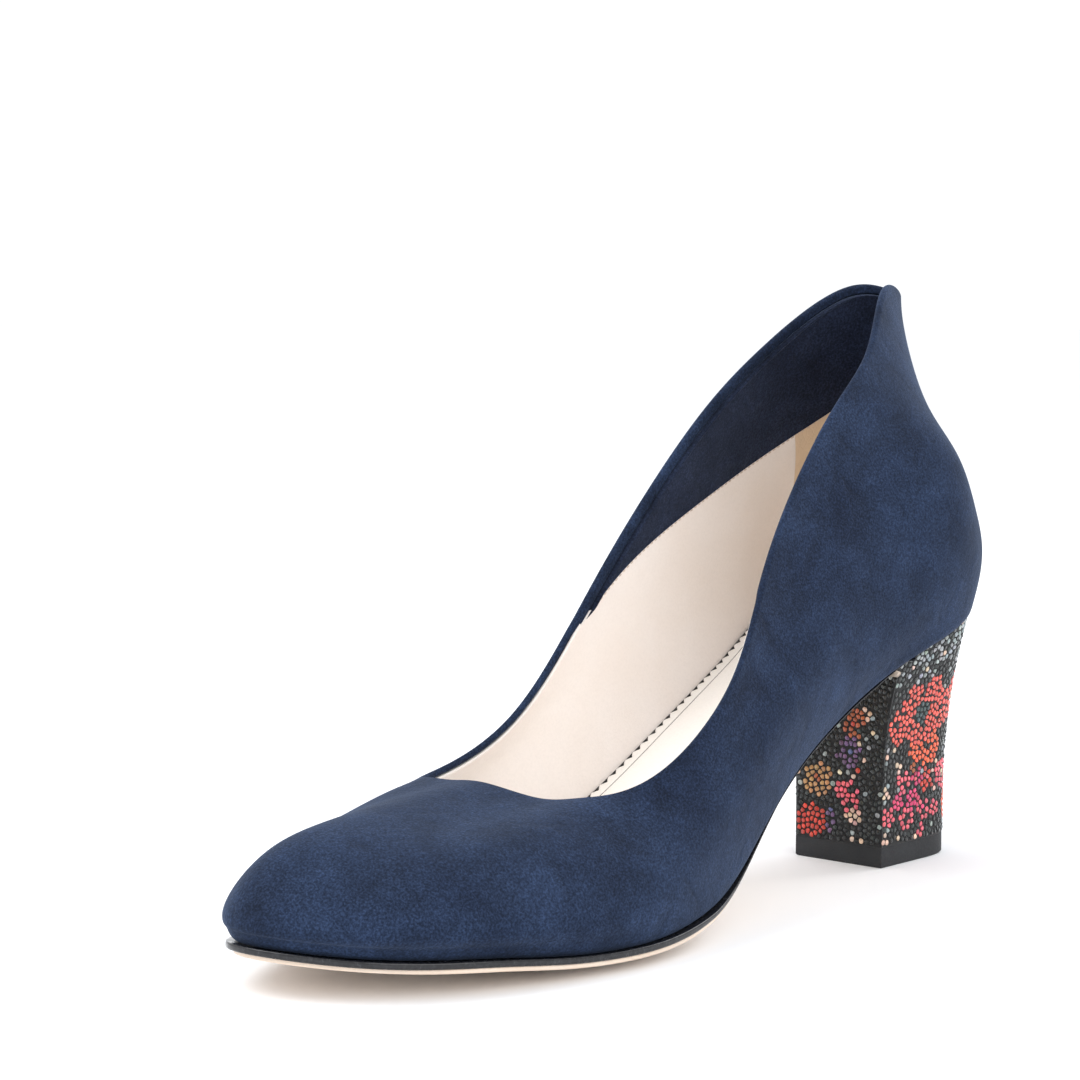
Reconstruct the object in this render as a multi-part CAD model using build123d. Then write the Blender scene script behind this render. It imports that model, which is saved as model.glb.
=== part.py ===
from build123d import *
import os
import numpy as np

# High heel pump, left shoe, European size 37, block heel of 65 mm at the seat.
# Millimetres. Toe towards -Y, heel towards +Y, lateral side +X, medial side -X, +Z up.
# The floor is z = 0 and the origin is the middle of the shoe's footprint.

# ---------------------------------------------------------------- driving dimensions
SUEDE = 1.0              # goat suede of the upper
STIFFENER = 0.5          # interlining, toe puff, counter and tape share one layer
LINING = 0.7             # lining leather, facing and grip
LAYER_GAP = 0.05         # cement line between two cemented layers
FEATHER_RADIUS = 2.6     # turn of the upper under the last's feather edge
MARGIN = 11.0            # width of the lasting margin under the insole

INSOLE = 2.2             # insole board
SOCK = 0.8               # sock lining leather
HEEL_PAD = 1.6           # foam pad under the sock at the heel
FILLER = 1.5             # cork layer inside the lasting margin
RUNNER = 1.5             # black lacquered middle sole, forepart
OUTSOLE = 1.0            # tan outsole layer
SOLE_PROUD = 0.5         # how far the sole edge stands out past the feather line
SHANK_WIDTH = 12.0
SHANK_THICK = 1.0

HEEL_BREAST_Y = 80.0     # flat front face of the heel
HEEL_ROUND_Y = 98.0      # where the heel's straight sides turn into its round back
HEEL_CENTRE_X = -0.6
HEEL_COVER = 0.6         # glitter cloth round the heel
PIN_RADIUS = 1.5         # steel pins that hold the top piece
TOP_PIECE = 5.3          # rubber top piece that meets the floor
FIT_GAP = 0.05           # room round nails, pins and rivets, and between hard pieces
SURFACE_TOLERANCE = 0.01 # how closely a face follows its grid of points

# Heel sections: height, half width, and how far the back stands behind HEEL_ROUND_Y.
HEEL_SECTIONS = [
    (0.0, 13.5, 16.0), (12.0, 13.5, 16.0), (26.0, 13.8, 16.2), (36.0, 14.8, 16.6),
    (45.0, 16.6, 16.3), (54.0, 19.2, 15.6), (62.0, 21.6, 15.4), (72.0, 23.5, 15.4),
]

# ---------------------------------------------------------------- the last
# Five outlines run round the last from the back seam along the lateral side to the
# toe and back along the medial side. Each has a point at the same 18 stations:
# back; lateral rear, heel side, breast, waist, shank, ball, forepart, toe; tip;
# medial toe, forepart, ball, shank, waist, breast, heel side, rear.
FEATHER = [
    (0.0, 115.0), (19.0, 109.5), (26.0, 91.5), (24.0, 65.5), (24.5, 30.0), (33.0, -6.0),
    (38.5, -40.5), (31.0, -79.0), (14.5, -108.0), (-7.5, -119.5), (-21.5, -107.5),
    (-31.5, -84.0), (-36.5, -52.0), (-31.0, -14.0), (-23.5, 28.0), (-24.5, 66.0),
    (-26.5, 90.0), (-19.0, 108.0),
]
BULGE = [
    (-1.5, 120.0, 85.0), (19.0, 112.5, 83.5), (29.5, 93.5, 78.5), (29.0, 66.5, 65.5),
    (28.5, 30.0, 45.0), (34.5, -8.0, 26.0), (39.5, -44.0, 15.0), (32.5, -82.0, 15.0),
    (17.0, -108.5, 16.0), (-6.5, -119.7, 17.5), (-23.0, -108.0, 17.0), (-33.5, -84.5, 16.0),
    (-39.5, -54.0, 15.5), (-34.0, -14.0, 24.0), (-28.0, 28.0, 44.0), (-28.5, 66.0, 65.0),
    (-30.5, 90.0, 77.0), (-21.5, 110.5, 82.5),
]
SIDE = [
    (-3.0, 116.0, 110.0), (12.5, 105.5, 105.5), (27.5, 90.5, 102.0), (28.5, 64.5, 85.0),
    (30.5, 30.5, 60.5), (34.0, -8.0, 36.0), (35.5, -42.0, 25.0), (27.0, -75.0, 27.0),
    (12.0, -97.0, 28.0), (-7.0, -106.0, 30.5), (-18.5, -96.5, 27.5), (-28.0, -76.5, 26.0),
    (-35.0, -50.0, 25.0), (-34.0, -14.0, 33.5), (-29.0, 28.0, 58.0), (-28.5, 64.0, 84.0),
    (-27.0, 88.0, 100.5), (-19.0, 106.0, 106.5),
]
COLLAR = [
    (-2.4, 106.6, 131.0), (7.5, 99.0, 127.0), (19.5, 79.5, 118.0), (22.5, 56.0, 102.0),
    (26.0, 25.0, 74.5), (32.0, -5.0, 48.0), (30.5, -34.5, 33.0), (22.0, -55.0, 31.5),
    (10.0, -67.5, 32.0), (-5.0, -73.0, 34.5), (-15.5, -69.0, 33.0), (-25.0, -59.5, 32.5),
    (-32.0, -43.0, 31.0), (-31.5, -13.0, 40.5), (-28.5, 21.0, 68.0), (-26.5, 54.0, 98.5),
    (-23.5, 79.0, 118.0), (-12.5, 99.0, 128.5),
]
TOPLINE = [
    (-3.2, 107.6, 147.2), (4.0, 93.0, 146.6), (14.0, 72.0, 132.0), (18.0, 50.5, 116.0),
    (23.0, 21.5, 86.0), (30.5, -2.5, 58.0), (28.0, -28.0, 39.5), (18.0, -40.0, 35.0),
    (9.0, -45.0, 34.5), (-3.0, -49.0, 37.0), (-13.0, -49.0, 36.5), (-22.0, -48.0, 36.0),
    (-29.5, -39.0, 35.5), (-28.5, -13.0, 46.0), (-27.0, 15.5, 77.0), (-24.5, 46.5, 110.5),
    (-20.5, 72.0, 131.5), (-11.5, 97.5, 146.4),
]
STATIONS = len(FEATHER)
LEVELS = [0.0, 0.24, 0.52, 0.8, 1.0]

# Height of the last's bottom along its middle line, from the toe to the heel seat.
BOTTOM_Y = [-124, -108, -94, -79, -64, -50, -36, -22, -6, 10, 30, 48, 66, 92, 110, 124]
BOTTOM_Z = [12.0, 9.4, 7.8, 6.1, 3.7, 2.4, 2.7, 4.9, 9.5, 18.3, 31.2, 41.4, 50.2, 59.3, 64.0, 67.2]
CROWN = 2.8              # how much higher the bottom's edge is than its middle, at the ball
CROWN_Y = -48.0
CROWN_LENGTH = 42.0
BALL_HALF_WIDTH = 38.0


def closed_spline(points, u):
    """Smooth closed curve through the points, one unit of u from each to the next."""
    points = np.asarray(points, float)
    n = len(points)
    after = np.roll(points, -1, axis=0)
    before = np.roll(points, 1, axis=0)
    eye = np.eye(n)
    matrix = 4 * eye + np.roll(eye, 1, axis=1) + np.roll(eye, -1, axis=1)
    slopes = np.linalg.solve(matrix, 3 * (after - before))
    u = np.asarray(u, float) % n
    i = np.minimum(u.astype(int), n - 1)
    j = (i + 1) % n
    t = (u - i)[..., None]
    from_start = points[i] * (1 + 2 * t) * (1 - t) ** 2 + slopes[i] * t * (1 - t) ** 2
    from_end = points[j] * t ** 2 * (3 - 2 * t) + slopes[j] * t ** 2 * (t - 1)
    return from_start + from_end


def spline_bends(knots, values):
    """Second derivatives of the natural cubic spline through values at the knots."""
    n = len(knots)
    step = np.diff(knots)
    matrix = np.eye(n)
    right = np.zeros(values.shape)
    for k in range(1, n - 1):
        matrix[k, k - 1:k + 2] = step[k - 1], 2 * (step[k - 1] + step[k]), step[k]
        rise = (values[k + 1] - values[k]) / step[k]
        fall = (values[k] - values[k - 1]) / step[k - 1]
        right[k] = 6 * (rise - fall)
    return np.linalg.solve(matrix, right.reshape(n, -1)).reshape(values.shape)


def open_spline(knots, values, x, pick=()):
    """Natural cubic spline at x. pick chooses among splines that share the knots."""
    knots = np.asarray(knots, float)
    values = np.asarray(values, float)
    bends = spline_bends(knots, values)
    i = np.clip(np.searchsorted(knots, x) - 1, 0, len(knots) - 2)
    h = knots[i + 1] - knots[i]
    a = (knots[i + 1] - x) / h
    b = (x - knots[i]) / h
    if pick:
        a, b, h = a[..., None], b[..., None], h[..., None]
    straight = a * values[(i,) + pick] + b * values[(i + 1,) + pick]
    curve = (a ** 3 - a) * bends[(i,) + pick] + (b ** 3 - b) * bends[(i + 1,) + pick]
    return straight + curve * h * h / 6


def bottom_height(x, y):
    """Height of the last's bottom: a side profile, with a ball that is crowned."""
    profile = open_spline(BOTTOM_Y, BOTTOM_Z, np.asarray(y, float))
    crown = CROWN * np.exp(-(((y - CROWN_Y) / CROWN_LENGTH) ** 2))
    return profile + crown * (x / BALL_HALF_WIDTH) ** 2


def feather_plan(u, inset=0.0):
    """Feather line in plan, moved inwards by inset."""
    along = closed_spline(FEATHER, u + 0.01) - closed_spline(FEATHER, u - 0.01)
    along /= np.linalg.norm(along, axis=-1, keepdims=True)
    inwards = np.stack([along[..., 1], -along[..., 0]], axis=-1)
    return closed_spline(FEATHER, u) + inwards * np.asarray(inset)[..., None]


def under_points(u, inset):
    """The upper's outside under the last, a distance in from the feather line."""
    plan = feather_plan(u, inset)
    turn = np.clip(FEATHER_RADIUS - inset, 0, FEATHER_RADIUS)
    rise = FEATHER_RADIUS - np.sqrt(FEATHER_RADIUS ** 2 - turn ** 2)
    height = bottom_height(plan[..., 0], plan[..., 1]) + rise
    return np.concatenate([plan, height[..., None]], axis=-1)


def wall_points(u, w):
    """The upper's outside above the feather line, up to the topline at w = 1."""
    lines = [under_points(u, np.zeros(u.shape))]
    lines += [closed_spline(line, u) for line in (BULGE, SIDE, COLLAR, TOPLINE)]
    columns = np.broadcast_to(np.arange(len(u))[:, None], w.shape)
    return open_spline(LEVELS, np.stack(lines), w, (columns,))


def upper_points(u, w):
    """Outside of the upper at stations u and rows w: -1 is the margin's edge, 0 the
    feather line and 1 the topline."""
    across = np.broadcast_to(u[:, None], w.shape)
    under = under_points(across, np.maximum(-w, 0) * MARGIN)
    wall = wall_points(u, np.maximum(w, 0))
    return np.where((w < 0)[..., None], under, wall)


def layer_points(u, w, depth):
    """The upper's outside moved inwards by depth, square to its surface."""
    du, dw = 0.02, 0.012
    along_u = upper_points(u + du, w) - upper_points(u - du, w)
    along_w = upper_points(u, w + dw) - upper_points(u, w - dw)
    normal = np.cross(along_u, along_w)  # points into the shoe
    normal /= np.linalg.norm(normal, axis=-1, keepdims=True)
    return upper_points(u, w) + normal * depth


def rows(low, high, count=14):
    """Rows from low to high, which are numbers or one value per station."""
    low, high = np.broadcast_arrays(np.atleast_1d(low), np.atleast_1d(high))
    share = np.linspace(0, 1, count)
    return low[:, None] + (high - low)[:, None] * share


def turned_rows(low, high, stations):
    """Rows that start under the last, at low < 0, and end on the wall, at high."""
    angles = np.radians([75, 60, 45, 30, 15])
    turn = -FEATHER_RADIUS / MARGIN * (1 - np.cos(angles))
    flat = np.linspace(low, -1.15 * FEATHER_RADIUS / MARGIN, 6)
    under = np.tile(np.concatenate([flat, turn]), (stations, 1))
    return np.hstack([under, rows(0.0, high * np.ones(stations))])


def edge_between(face, start, end):
    """The face's edge that joins two of its corners, running from start to end."""
    start, end = Vector(*start), Vector(*end)
    choices = [(edge @ 0, edge @ 1, edge) for edge in face.edges()]
    choices += [(last, first, edge.reversed()) for first, last, edge in choices]
    return min(choices, key=lambda one: (one[0] - start).length + (one[1] - end).length)[2]


def solid_between(near, far):
    """Closed solid between two grids of points with matching corners."""
    faces = [Face.make_surface_from_array_of_points(grid.tolist(), tol=SURFACE_TOLERANCE) for grid in (near, far)]
    corners = [(0, 0), (0, -1), (-1, -1), (-1, 0)]
    sides = []
    for start, end in zip(corners, corners[1:] + corners[:1]):
        pair = [edge_between(face, grid[start], grid[end]) for face, grid in zip(faces, (near, far))]
        sides.append(Face.make_surface_from_curves(*pair))
    return Solid(Shell(faces + sides))


def skin(u, w, near, far):
    """Solid between two depths of the upper's wall, over stations u and rows w."""
    w = np.broadcast_to(w, (len(u), w.shape[1]))
    return solid_between(layer_points(u, w, near), layer_points(u, w, far))


def plan_outline(inset):
    """Face in plan whose edge is the feather line moved inwards by inset(x, y)."""
    u = np.linspace(0, STATIONS, 90, endpoint=False)
    feather = feather_plan(u)
    points = feather_plan(u, inset(feather[:, 0], feather[:, 1]))
    return Face(Wire([Edge.make_spline([Vector(*point) for point in points], periodic=True)]))


def slab(low, high, y_low, y_high):
    """Solid between two heights that are functions of x and y."""
    x, y = np.meshgrid(np.linspace(-50, 50, 15), np.linspace(y_low, y_high, 70))
    return solid_between(*[np.stack([x, y, height(x, y)], axis=-1) for height in (low, high)])


def level(rise):
    """Height function: the last's bottom raised by a fixed amount."""
    return lambda x, y: bottom_height(x, y) + rise


def fixed(distance):
    """Inset function: the same distance everywhere."""
    return lambda x, y: np.full(np.shape(x), distance)


def bottom_piece(inset, low, high, y_low=-124.0, y_high=124.0):
    """Piece of the shoe's bottom: a plan outline between two heights."""
    column = extrude(plan_outline(inset), 100, dir=(0, 0, 1)).moved(Location((0, 0, -10)))
    return column & slab(low, high, y_low, y_high)


def seat_plane(x, y, rise):
    """Plane on the last's bottom at x, y, square to the bottom's slope."""
    slope = (bottom_height(x, y + 1.0) - bottom_height(x, y - 1.0)) / 2
    normal = Vector(0, -float(slope), 1).normalized()
    origin = Vector(x, y, float(bottom_height(x, y))) + normal * rise
    return Plane(origin, x_dir=(1, 0, 0), z_dir=normal)


def headed_pin(x, y, top, length, radius, head_radius, head):
    """Nail, rivet or screw, its head's top at a rise above the last's bottom."""
    plane = seat_plane(x, y, top)
    shank = Solid.make_cylinder(radius, length, plane.offset(-length))
    return shank + Solid.make_cylinder(head_radius, head, plane.offset(-head))


def save(name, shape):
    solids = shape.solids()
    whole = solids[0] if len(solids) == 1 else Compound(children=list(solids))
    whole.label = name
    export_step(whole, f"parts/{name}.step")


# ---------------------------------------------------------------- layers of the upper
STIFF_NEAR = SUEDE + LAYER_GAP
STIFF_FAR = STIFF_NEAR + STIFFENER
LINING_NEAR = STIFF_FAR + LAYER_GAP
LINING_FAR = LINING_NEAR + LINING

SIDE_GAP = 0.004                 # half a butted seam elsewhere, in stations
ROW_GAP = 0.002                  # half a butted seam that runs along a row
FACING_FRONT = 4.27              # the facing's square front ends, stations from the back
FACING_LOW = [0.74, 0.67, 0.61, 0.72, 0.92, 0.96]   # its lower edge at stations 0 to 5
GRIP_FRONT = 1.8                 # heel grip, stations each side of the back
COUNTER_FRONT = 2.6              # heel counter
COUNTER_TOP = 0.58
PUFF_START, PUFF_END = 7.3, 11.0 # toe puff, stations
PUFF_TOP = 0.55
TAPE_LOW = 0.93                  # reinforcing tape along the topline


def facing_low(u):
    """Row of the facing's lower edge, the same on both sides of the back seam."""
    side = np.abs((u + STATIONS / 2) % STATIONS - STATIONS / 2)
    return open_spline(np.arange(6.0), np.array(FACING_LOW), side)


def stations(first, last):
    """Stations from first to last, close enough together for a smooth surface."""
    count = max(12, int(6 * (last - first)))
    return np.linspace(first + SIDE_GAP, last - SIDE_GAP, count)


def upper_layer(first, last, low, high, near, far):
    """Layer of the upper that starts on the lasting margin when low is below 0."""
    u = stations(first, last)
    top = high(u) if callable(high) else high
    base = low(u) if callable(low) else low
    if np.ndim(base) == 0 and base < 0:
        return skin(u, turned_rows(base, top, len(u)), near, far)
    return skin(u, rows(base, top) * np.ones((len(u), 1)), near, far)


def make_upper():
    return upper_layer(0, STATIONS, -1.0, 1.0, 0.0, SUEDE)


def make_topline_tape():
    return upper_layer(0, STATIONS, TAPE_LOW, 1.0, STIFF_NEAR, STIFF_FAR)


def make_toe_puff():
    return upper_layer(PUFF_START, PUFF_END, -0.6, PUFF_TOP, STIFF_NEAR, STIFF_FAR)


def make_heel_counter():
    ends = STATIONS - COUNTER_FRONT, STATIONS + COUNTER_FRONT
    return upper_layer(*ends, -0.6, COUNTER_TOP, STIFF_NEAR, STIFF_FAR)


def make_interlining():
    """Four panels that fill the layer between the counter, the puff and the tape."""
    top = TAPE_LOW - 2 * ROW_GAP
    panels = [
        (COUNTER_FRONT, PUFF_START, 0.03), (PUFF_END, STATIONS - COUNTER_FRONT, 0.03),
        (PUFF_START, PUFF_END, PUFF_TOP + 2 * ROW_GAP),
        (STATIONS - COUNTER_FRONT, STATIONS + COUNTER_FRONT, COUNTER_TOP + 2 * ROW_GAP),
    ]
    solids = [upper_layer(a, b, low, top, STIFF_NEAR, STIFF_FAR) for a, b, low in panels]
    return Compound(children=solids)


def make_facing(first, last):
    def low(u):
        return facing_low(u) + ROW_GAP
    return upper_layer(first, last, low, 1.0, LINING_NEAR, LINING_FAR)


def make_vamp_lining():
    return upper_layer(FACING_FRONT, STATIONS - FACING_FRONT, -0.8, 1.0, LINING_NEAR, LINING_FAR)


def make_quarter_lining(first, last):
    def top(u):
        return facing_low(u) - ROW_GAP
    return upper_layer(first, last, -0.8, top, LINING_NEAR, LINING_FAR)


# ---------------------------------------------------------------- bottom of the shoe
BOARD_LOW = LINING_FAR + LAYER_GAP
BOARD_HIGH = BOARD_LOW + INSOLE
SOCK_LOW = BOARD_HIGH + LAYER_GAP
BOARD_INSET = 2.9                # edge of the insole boards, in from the feather line
BOARD_JOINT_Y = -22.0            # front board meets the rear shank board
FILLER_END_Y = -18.0
PAD_INSET = 7.0
PAD_FRONT_Y = 56.0               # the pad is feathered to nothing from here back
PAD_RAMP = 22.0
PAD_START_Y = 60.0
SOCK_INSET = 3.3
SOCK_FRONT_Y = -75.0
RUNNER_FULL_Y = -25.0            # the runner is skived thin from here back
RUNNER_END_Y = 12.0
RUNNER_THIN = 0.35
RUNNER_TOP = -0.1                # cement line under the upper
OUTSOLE_TOP = RUNNER_TOP - LAYER_GAP
SHANK_Y = (-14.0, 88.0)          # ends of the steel shank
SHANK_RISE = 0.15                # shank above the last's bottom line
RIVET_YS = [-8.0, 4.0, 74.0]
RIVET_TOP = BOARD_LOW + 0.6
RIVET_LENGTH, RIVET_RADIUS, RIVET_HEAD = 2.9, 1.3, 0.5
SCREW_Y = 97.0
SCREW_LENGTH, SCREW_RADIUS, SCREW_HEAD_RADIUS, SCREW_HEAD = 24.0, 2.0, 3.8, 1.4
NAIL_PLACES = [(-8.0, 88.0), (8.0, 88.0), (-7.0, 103.0), (7.0, 103.0)]
NAIL_LENGTH, NAIL_RADIUS, NAIL_HEAD_RADIUS, NAIL_HEAD = 17.0, 0.9, 1.9, 0.7
HEAD_SUNK = 0.1                  # screw and nail heads below the board's top
PIN_XS = [-6.0, 5.0]
PIN_LENGTH = 13.0
PIN_IN_TOP_PIECE = 4.5
HEEL_FRONT_Y = HEEL_BREAST_Y + HEEL_COVER + FIT_GAP   # front of the core and of the wrap
ROUNDNESS = 3.0                  # exponent of the heel's superelliptic back
TOP_PIECE_CHAMFER = 0.4


def pad_rise(y):
    """Thickness of the heel pad, tapering to nothing at its front edge."""
    share = np.clip((y - PAD_FRONT_Y) / PAD_RAMP, 0, 1)
    return HEEL_PAD * share * share * (3 - 2 * share)


def runner_thickness(y):
    ends = [RUNNER_FULL_Y, RUNNER_END_Y, RUNNER_END_Y + 6]
    return np.interp(y, ends, [RUNNER, RUNNER_THIN, 0.0])


def sole_inset(x, y):
    """The sole stands proud round the forepart and tucks in at the waist and breast."""
    return np.interp(y, [-10.0, 25.0, 64.0, HEEL_BREAST_Y], [-SOLE_PROUD, 0.6, 0.6, 2.6])


def make_insole_front():
    board = level(BOARD_LOW), level(BOARD_HIGH)
    return bottom_piece(fixed(BOARD_INSET), *board, y_high=BOARD_JOINT_Y)


def make_shank_board():
    board = level(BOARD_LOW), level(BOARD_HIGH)
    return bottom_piece(fixed(BOARD_INSET), *board, y_low=BOARD_JOINT_Y + FIT_GAP)


def make_filler():
    inset = fixed(MARGIN + 0.4)
    return bottom_piece(inset, level(FIT_GAP), level(FILLER), y_high=FILLER_END_Y)


def make_shank():
    """Steel strip with round ends that follows the waist's curve."""
    start, end = SHANK_Y
    plan = Pos(0, (start + end) / 2) * SlotOverall(end - start, SHANK_WIDTH, rotation=90)
    column = extrude(plan, 90, dir=(0, 0, 1))
    strip = level(SHANK_RISE), level(SHANK_RISE + SHANK_THICK)
    return column & slab(*strip, start - 6, end + 7)


def make_heel_pad():
    def top(x, y):
        return bottom_height(x, y) + SOCK_LOW + pad_rise(y)
    return bottom_piece(fixed(PAD_INSET), level(SOCK_LOW), top, y_low=PAD_START_Y)


def make_sock():
    def low(x, y):
        return bottom_height(x, y) + SOCK_LOW + pad_rise(y) + LAYER_GAP

    def high(x, y):
        return low(x, y) + SOCK
    return bottom_piece(fixed(SOCK_INSET), low, high, y_low=SOCK_FRONT_Y)


def runner_bottom(x, y):
    return bottom_height(x, y) + RUNNER_TOP - runner_thickness(y)


def make_runner():
    return bottom_piece(sole_inset, runner_bottom, level(RUNNER_TOP), y_high=RUNNER_END_Y)


def outsole_top(x, y):
    return runner_bottom(x, y) - LAYER_GAP


def outsole_bottom(x, y):
    return outsole_top(x, y) - OUTSOLE


def make_outsole():
    """Outsole with a narrower tail that lies inside the heel's cover, on its core."""
    front = plan_outline(sole_inset) & (Pos(0, HEEL_BREAST_Y + HEEL_COVER - 150) * Rectangle(120, 300))
    tail = heel_grid(HEEL_COVER + 2 * FIT_GAP, outsole_bottom)[:, -1, :2]
    ends = [(tail[k, 0], HEEL_BREAST_Y - 10) for k in (0, -1)]
    curve = Edge.make_spline([Vector(*point) for point in tail])
    sides = [Edge.make_line(ends[0], tail[0]), Edge.make_line(tail[-1], ends[1]), Edge.make_line(*ends)]
    plan = front + Face(Wire([curve] + sides))
    column = extrude(plan, 100, dir=(0, 0, 1))      # starts at the floor: the tread is flat
    return column & slab(outsole_bottom, outsole_top, -124, 124)


# ---------------------------------------------------------------- heel
def heel_top(x, y):
    """Top of the heel's core, under the outsole."""
    return outsole_bottom(x, y) - FIT_GAP


def heel_outline(share, z, inset):
    """Plan points of the heel's D-shaped outline at height z. share is 0 at the breast's
    lateral corner, 1 and 2 at the ends of the round back, 3 at the medial corner."""
    heights, halves, backs = np.array(HEEL_SECTIONS).T
    half = open_spline(heights, halves, z) - inset
    back = open_spline(heights, backs, z) - inset
    turn = np.pi * np.clip(share - 1, 0, 1)
    across = (np.abs(np.cos(turn)) / half) ** ROUNDNESS
    behind = (np.abs(np.sin(turn)) / back) ** ROUNDNESS
    radius = (across + behind) ** (-1 / ROUNDNESS)
    straight = np.maximum(np.maximum(1 - share, share - 2), 0)
    x = HEEL_CENTRE_X + radius * np.cos(turn)
    y = HEEL_ROUND_Y + radius * np.sin(turn) - straight * (HEEL_ROUND_Y - HEEL_FRONT_Y)
    return x, y


def heel_grid(inset, top):
    """Points of the heel's wall from the top piece up to the height top(x, y)."""
    share = np.concatenate([np.linspace(0, 1, 7), np.linspace(1, 2, 25)[1:-1], np.linspace(2, 3, 7)])
    ceiling = np.full(share.shape, HEEL_SECTIONS[-1][0])
    for _ in range(8):
        ceiling = top(*heel_outline(share, ceiling, inset))
    z = TOP_PIECE + np.linspace(0, 1, 16) * (ceiling[:, None] - TOP_PIECE)
    x, y = heel_outline(share[:, None], z, inset)
    return np.stack([x, y, z], axis=-1)


def make_heel_wrap():
    """Cover round the heel's sides and back. It rises past the outsole to the seat."""
    return solid_between(*[heel_grid(inset, level(RUNNER_TOP)) for inset in (0.0, HEEL_COVER)])


def make_breast_cover():
    """Cover on the heel's flat front, up to the outsole."""
    z = TOP_PIECE + np.linspace(0, 1, 16) * (heel_top(0, HEEL_BREAST_Y) - TOP_PIECE)
    half = open_spline(*np.array(HEEL_SECTIONS).T[:2], z)
    x = HEEL_CENTRE_X + half * np.linspace(-1, 1, 9)[:, None]
    z = np.broadcast_to(z, x.shape)
    faces = [np.stack([x, np.full(x.shape, y), z], axis=-1) for y in (HEEL_BREAST_Y, HEEL_BREAST_Y + HEEL_COVER)]
    return solid_between(*faces)


def make_heel_core():
    """Solid plastic block inside the covers."""
    wall = heel_grid(HEEL_COVER + FIT_GAP, lambda x, y: np.full(np.shape(x), HEEL_SECTIONS[-1][0]))
    side = Face.make_surface_from_array_of_points(wall.tolist(), tol=SURFACE_TOLERANCE)
    low, high = [edge_between(side, wall[0, k], wall[-1, k]) for k in (0, -1)]
    uprights = [edge_between(side, wall[k, 0], wall[k, -1]) for k in (0, -1)]
    caps = [Face(Wire([edge, Edge.make_line(edge @ 0, edge @ 1)])) for edge in (low, high)]
    column = Solid(Shell([side, Face.make_surface_from_curves(*uprights)] + caps))
    return column & slab(lambda x, y: np.zeros(np.shape(x)), heel_top, 60, 124)


def make_top_piece():
    """Rubber piece under the heel, as wide as the covered heel."""
    wall = heel_grid(0.0, level(RUNNER_TOP))[:, 0, :2]
    corners = [(x, HEEL_BREAST_Y) for x in (wall[-1, 0], wall[0, 0])]
    front = [Edge.make_line(wall[-1], corners[0]), Edge.make_line(*corners), Edge.make_line(corners[1], wall[0])]
    sides = [Edge.make_line(wall[0], wall[6]), Edge.make_line(wall[-7], wall[-1])]
    round_back = Edge.make_spline([Vector(*point) for point in wall[6:-6]])
    foot = Face(Wire(front + [sides[0], round_back, sides[1]]))
    body = extrude(foot, TOP_PIECE - FIT_GAP, dir=(0, 0, 1))
    return chamfer(body.faces().sort_by(Axis.Z)[0].edges(), TOP_PIECE_CHAMFER)


def make_top_piece_pins(room=0.0):
    centre = TOP_PIECE - PIN_IN_TOP_PIECE + PIN_LENGTH / 2
    pin = Cylinder(PIN_RADIUS + room, PIN_LENGTH + 2 * room)
    return Compound(children=[Pos(x, HEEL_ROUND_Y, centre) * pin for x in PIN_XS])


def make_rivets(room=0.0):
    size = RIVET_LENGTH, RIVET_RADIUS + room, RIVET_RADIUS + room, RIVET_HEAD
    return Compound(children=[headed_pin(0, y, RIVET_TOP, *size) for y in RIVET_YS])


def make_screw(room=0.0):
    size = SCREW_LENGTH + room, SCREW_RADIUS + room, SCREW_HEAD_RADIUS + room, SCREW_HEAD + room
    return headed_pin(0, SCREW_Y, BOARD_HIGH - HEAD_SUNK, *size)


def make_nails(room=0.0):
    size = NAIL_LENGTH + room, NAIL_RADIUS + room, NAIL_HEAD_RADIUS + room, NAIL_HEAD + room
    nails = [headed_pin(x, y, BOARD_HIGH - HEAD_SUNK, *size) for x, y in NAIL_PLACES]
    return Compound(children=nails)


def drilled(shape, *tools):
    """A shape with the room of each fastener cut out of it."""
    for tool in tools:
        for solid in tool.solids():
            shape = shape - solid
    return shape


def build_all():
    os.makedirs("parts", exist_ok=True)
    rivet_room, screw_room = make_rivets(FIT_GAP), make_screw(FIT_GAP)
    nail_room, pin_room = make_nails(FIT_GAP), make_top_piece_pins(FIT_GAP)
    lateral, medial = (0, FACING_FRONT), (STATIONS - FACING_FRONT, STATIONS)
    save("upper_suede", make_upper())
    save("topline_tape", make_topline_tape())
    save("toe_puff", make_toe_puff())
    save("heel_counter", make_heel_counter())
    save("interlining", make_interlining())
    save("facing_lateral", make_facing(*lateral))
    save("facing_medial", make_facing(*medial))
    save("vamp_lining", make_vamp_lining())
    save("quarter_lining_lateral", make_quarter_lining(GRIP_FRONT, lateral[1]))
    save("quarter_lining_medial", make_quarter_lining(medial[0], STATIONS - GRIP_FRONT))
    save("heel_grip", make_quarter_lining(STATIONS - GRIP_FRONT, STATIONS + GRIP_FRONT))
    save("insole_front", make_insole_front())
    save("shank_board", drilled(make_shank_board(), rivet_room, screw_room, nail_room))
    save("bottom_filler", make_filler())
    save("steel_shank", drilled(make_shank(), rivet_room))
    save("shank_rivets", make_rivets())
    save("heel_pad", make_heel_pad())
    save("sock_lining", make_sock())
    save("sole_runner", make_runner())
    save("outsole", drilled(make_outsole(), screw_room, nail_room))
    save("heel_core", drilled(make_heel_core(), pin_room, screw_room, nail_room))
    save("heel_wrap", make_heel_wrap())
    save("heel_breast_cover", make_breast_cover())
    save("top_piece", drilled(make_top_piece(), pin_room))
    save("top_piece_pins", make_top_piece_pins())
    save("heel_screw", make_screw())
    save("heel_nails", make_nails())


build_all()
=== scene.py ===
import bmesh
import bpy
import numpy as np
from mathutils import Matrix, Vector
from mathutils.kdtree import KDTree


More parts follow.
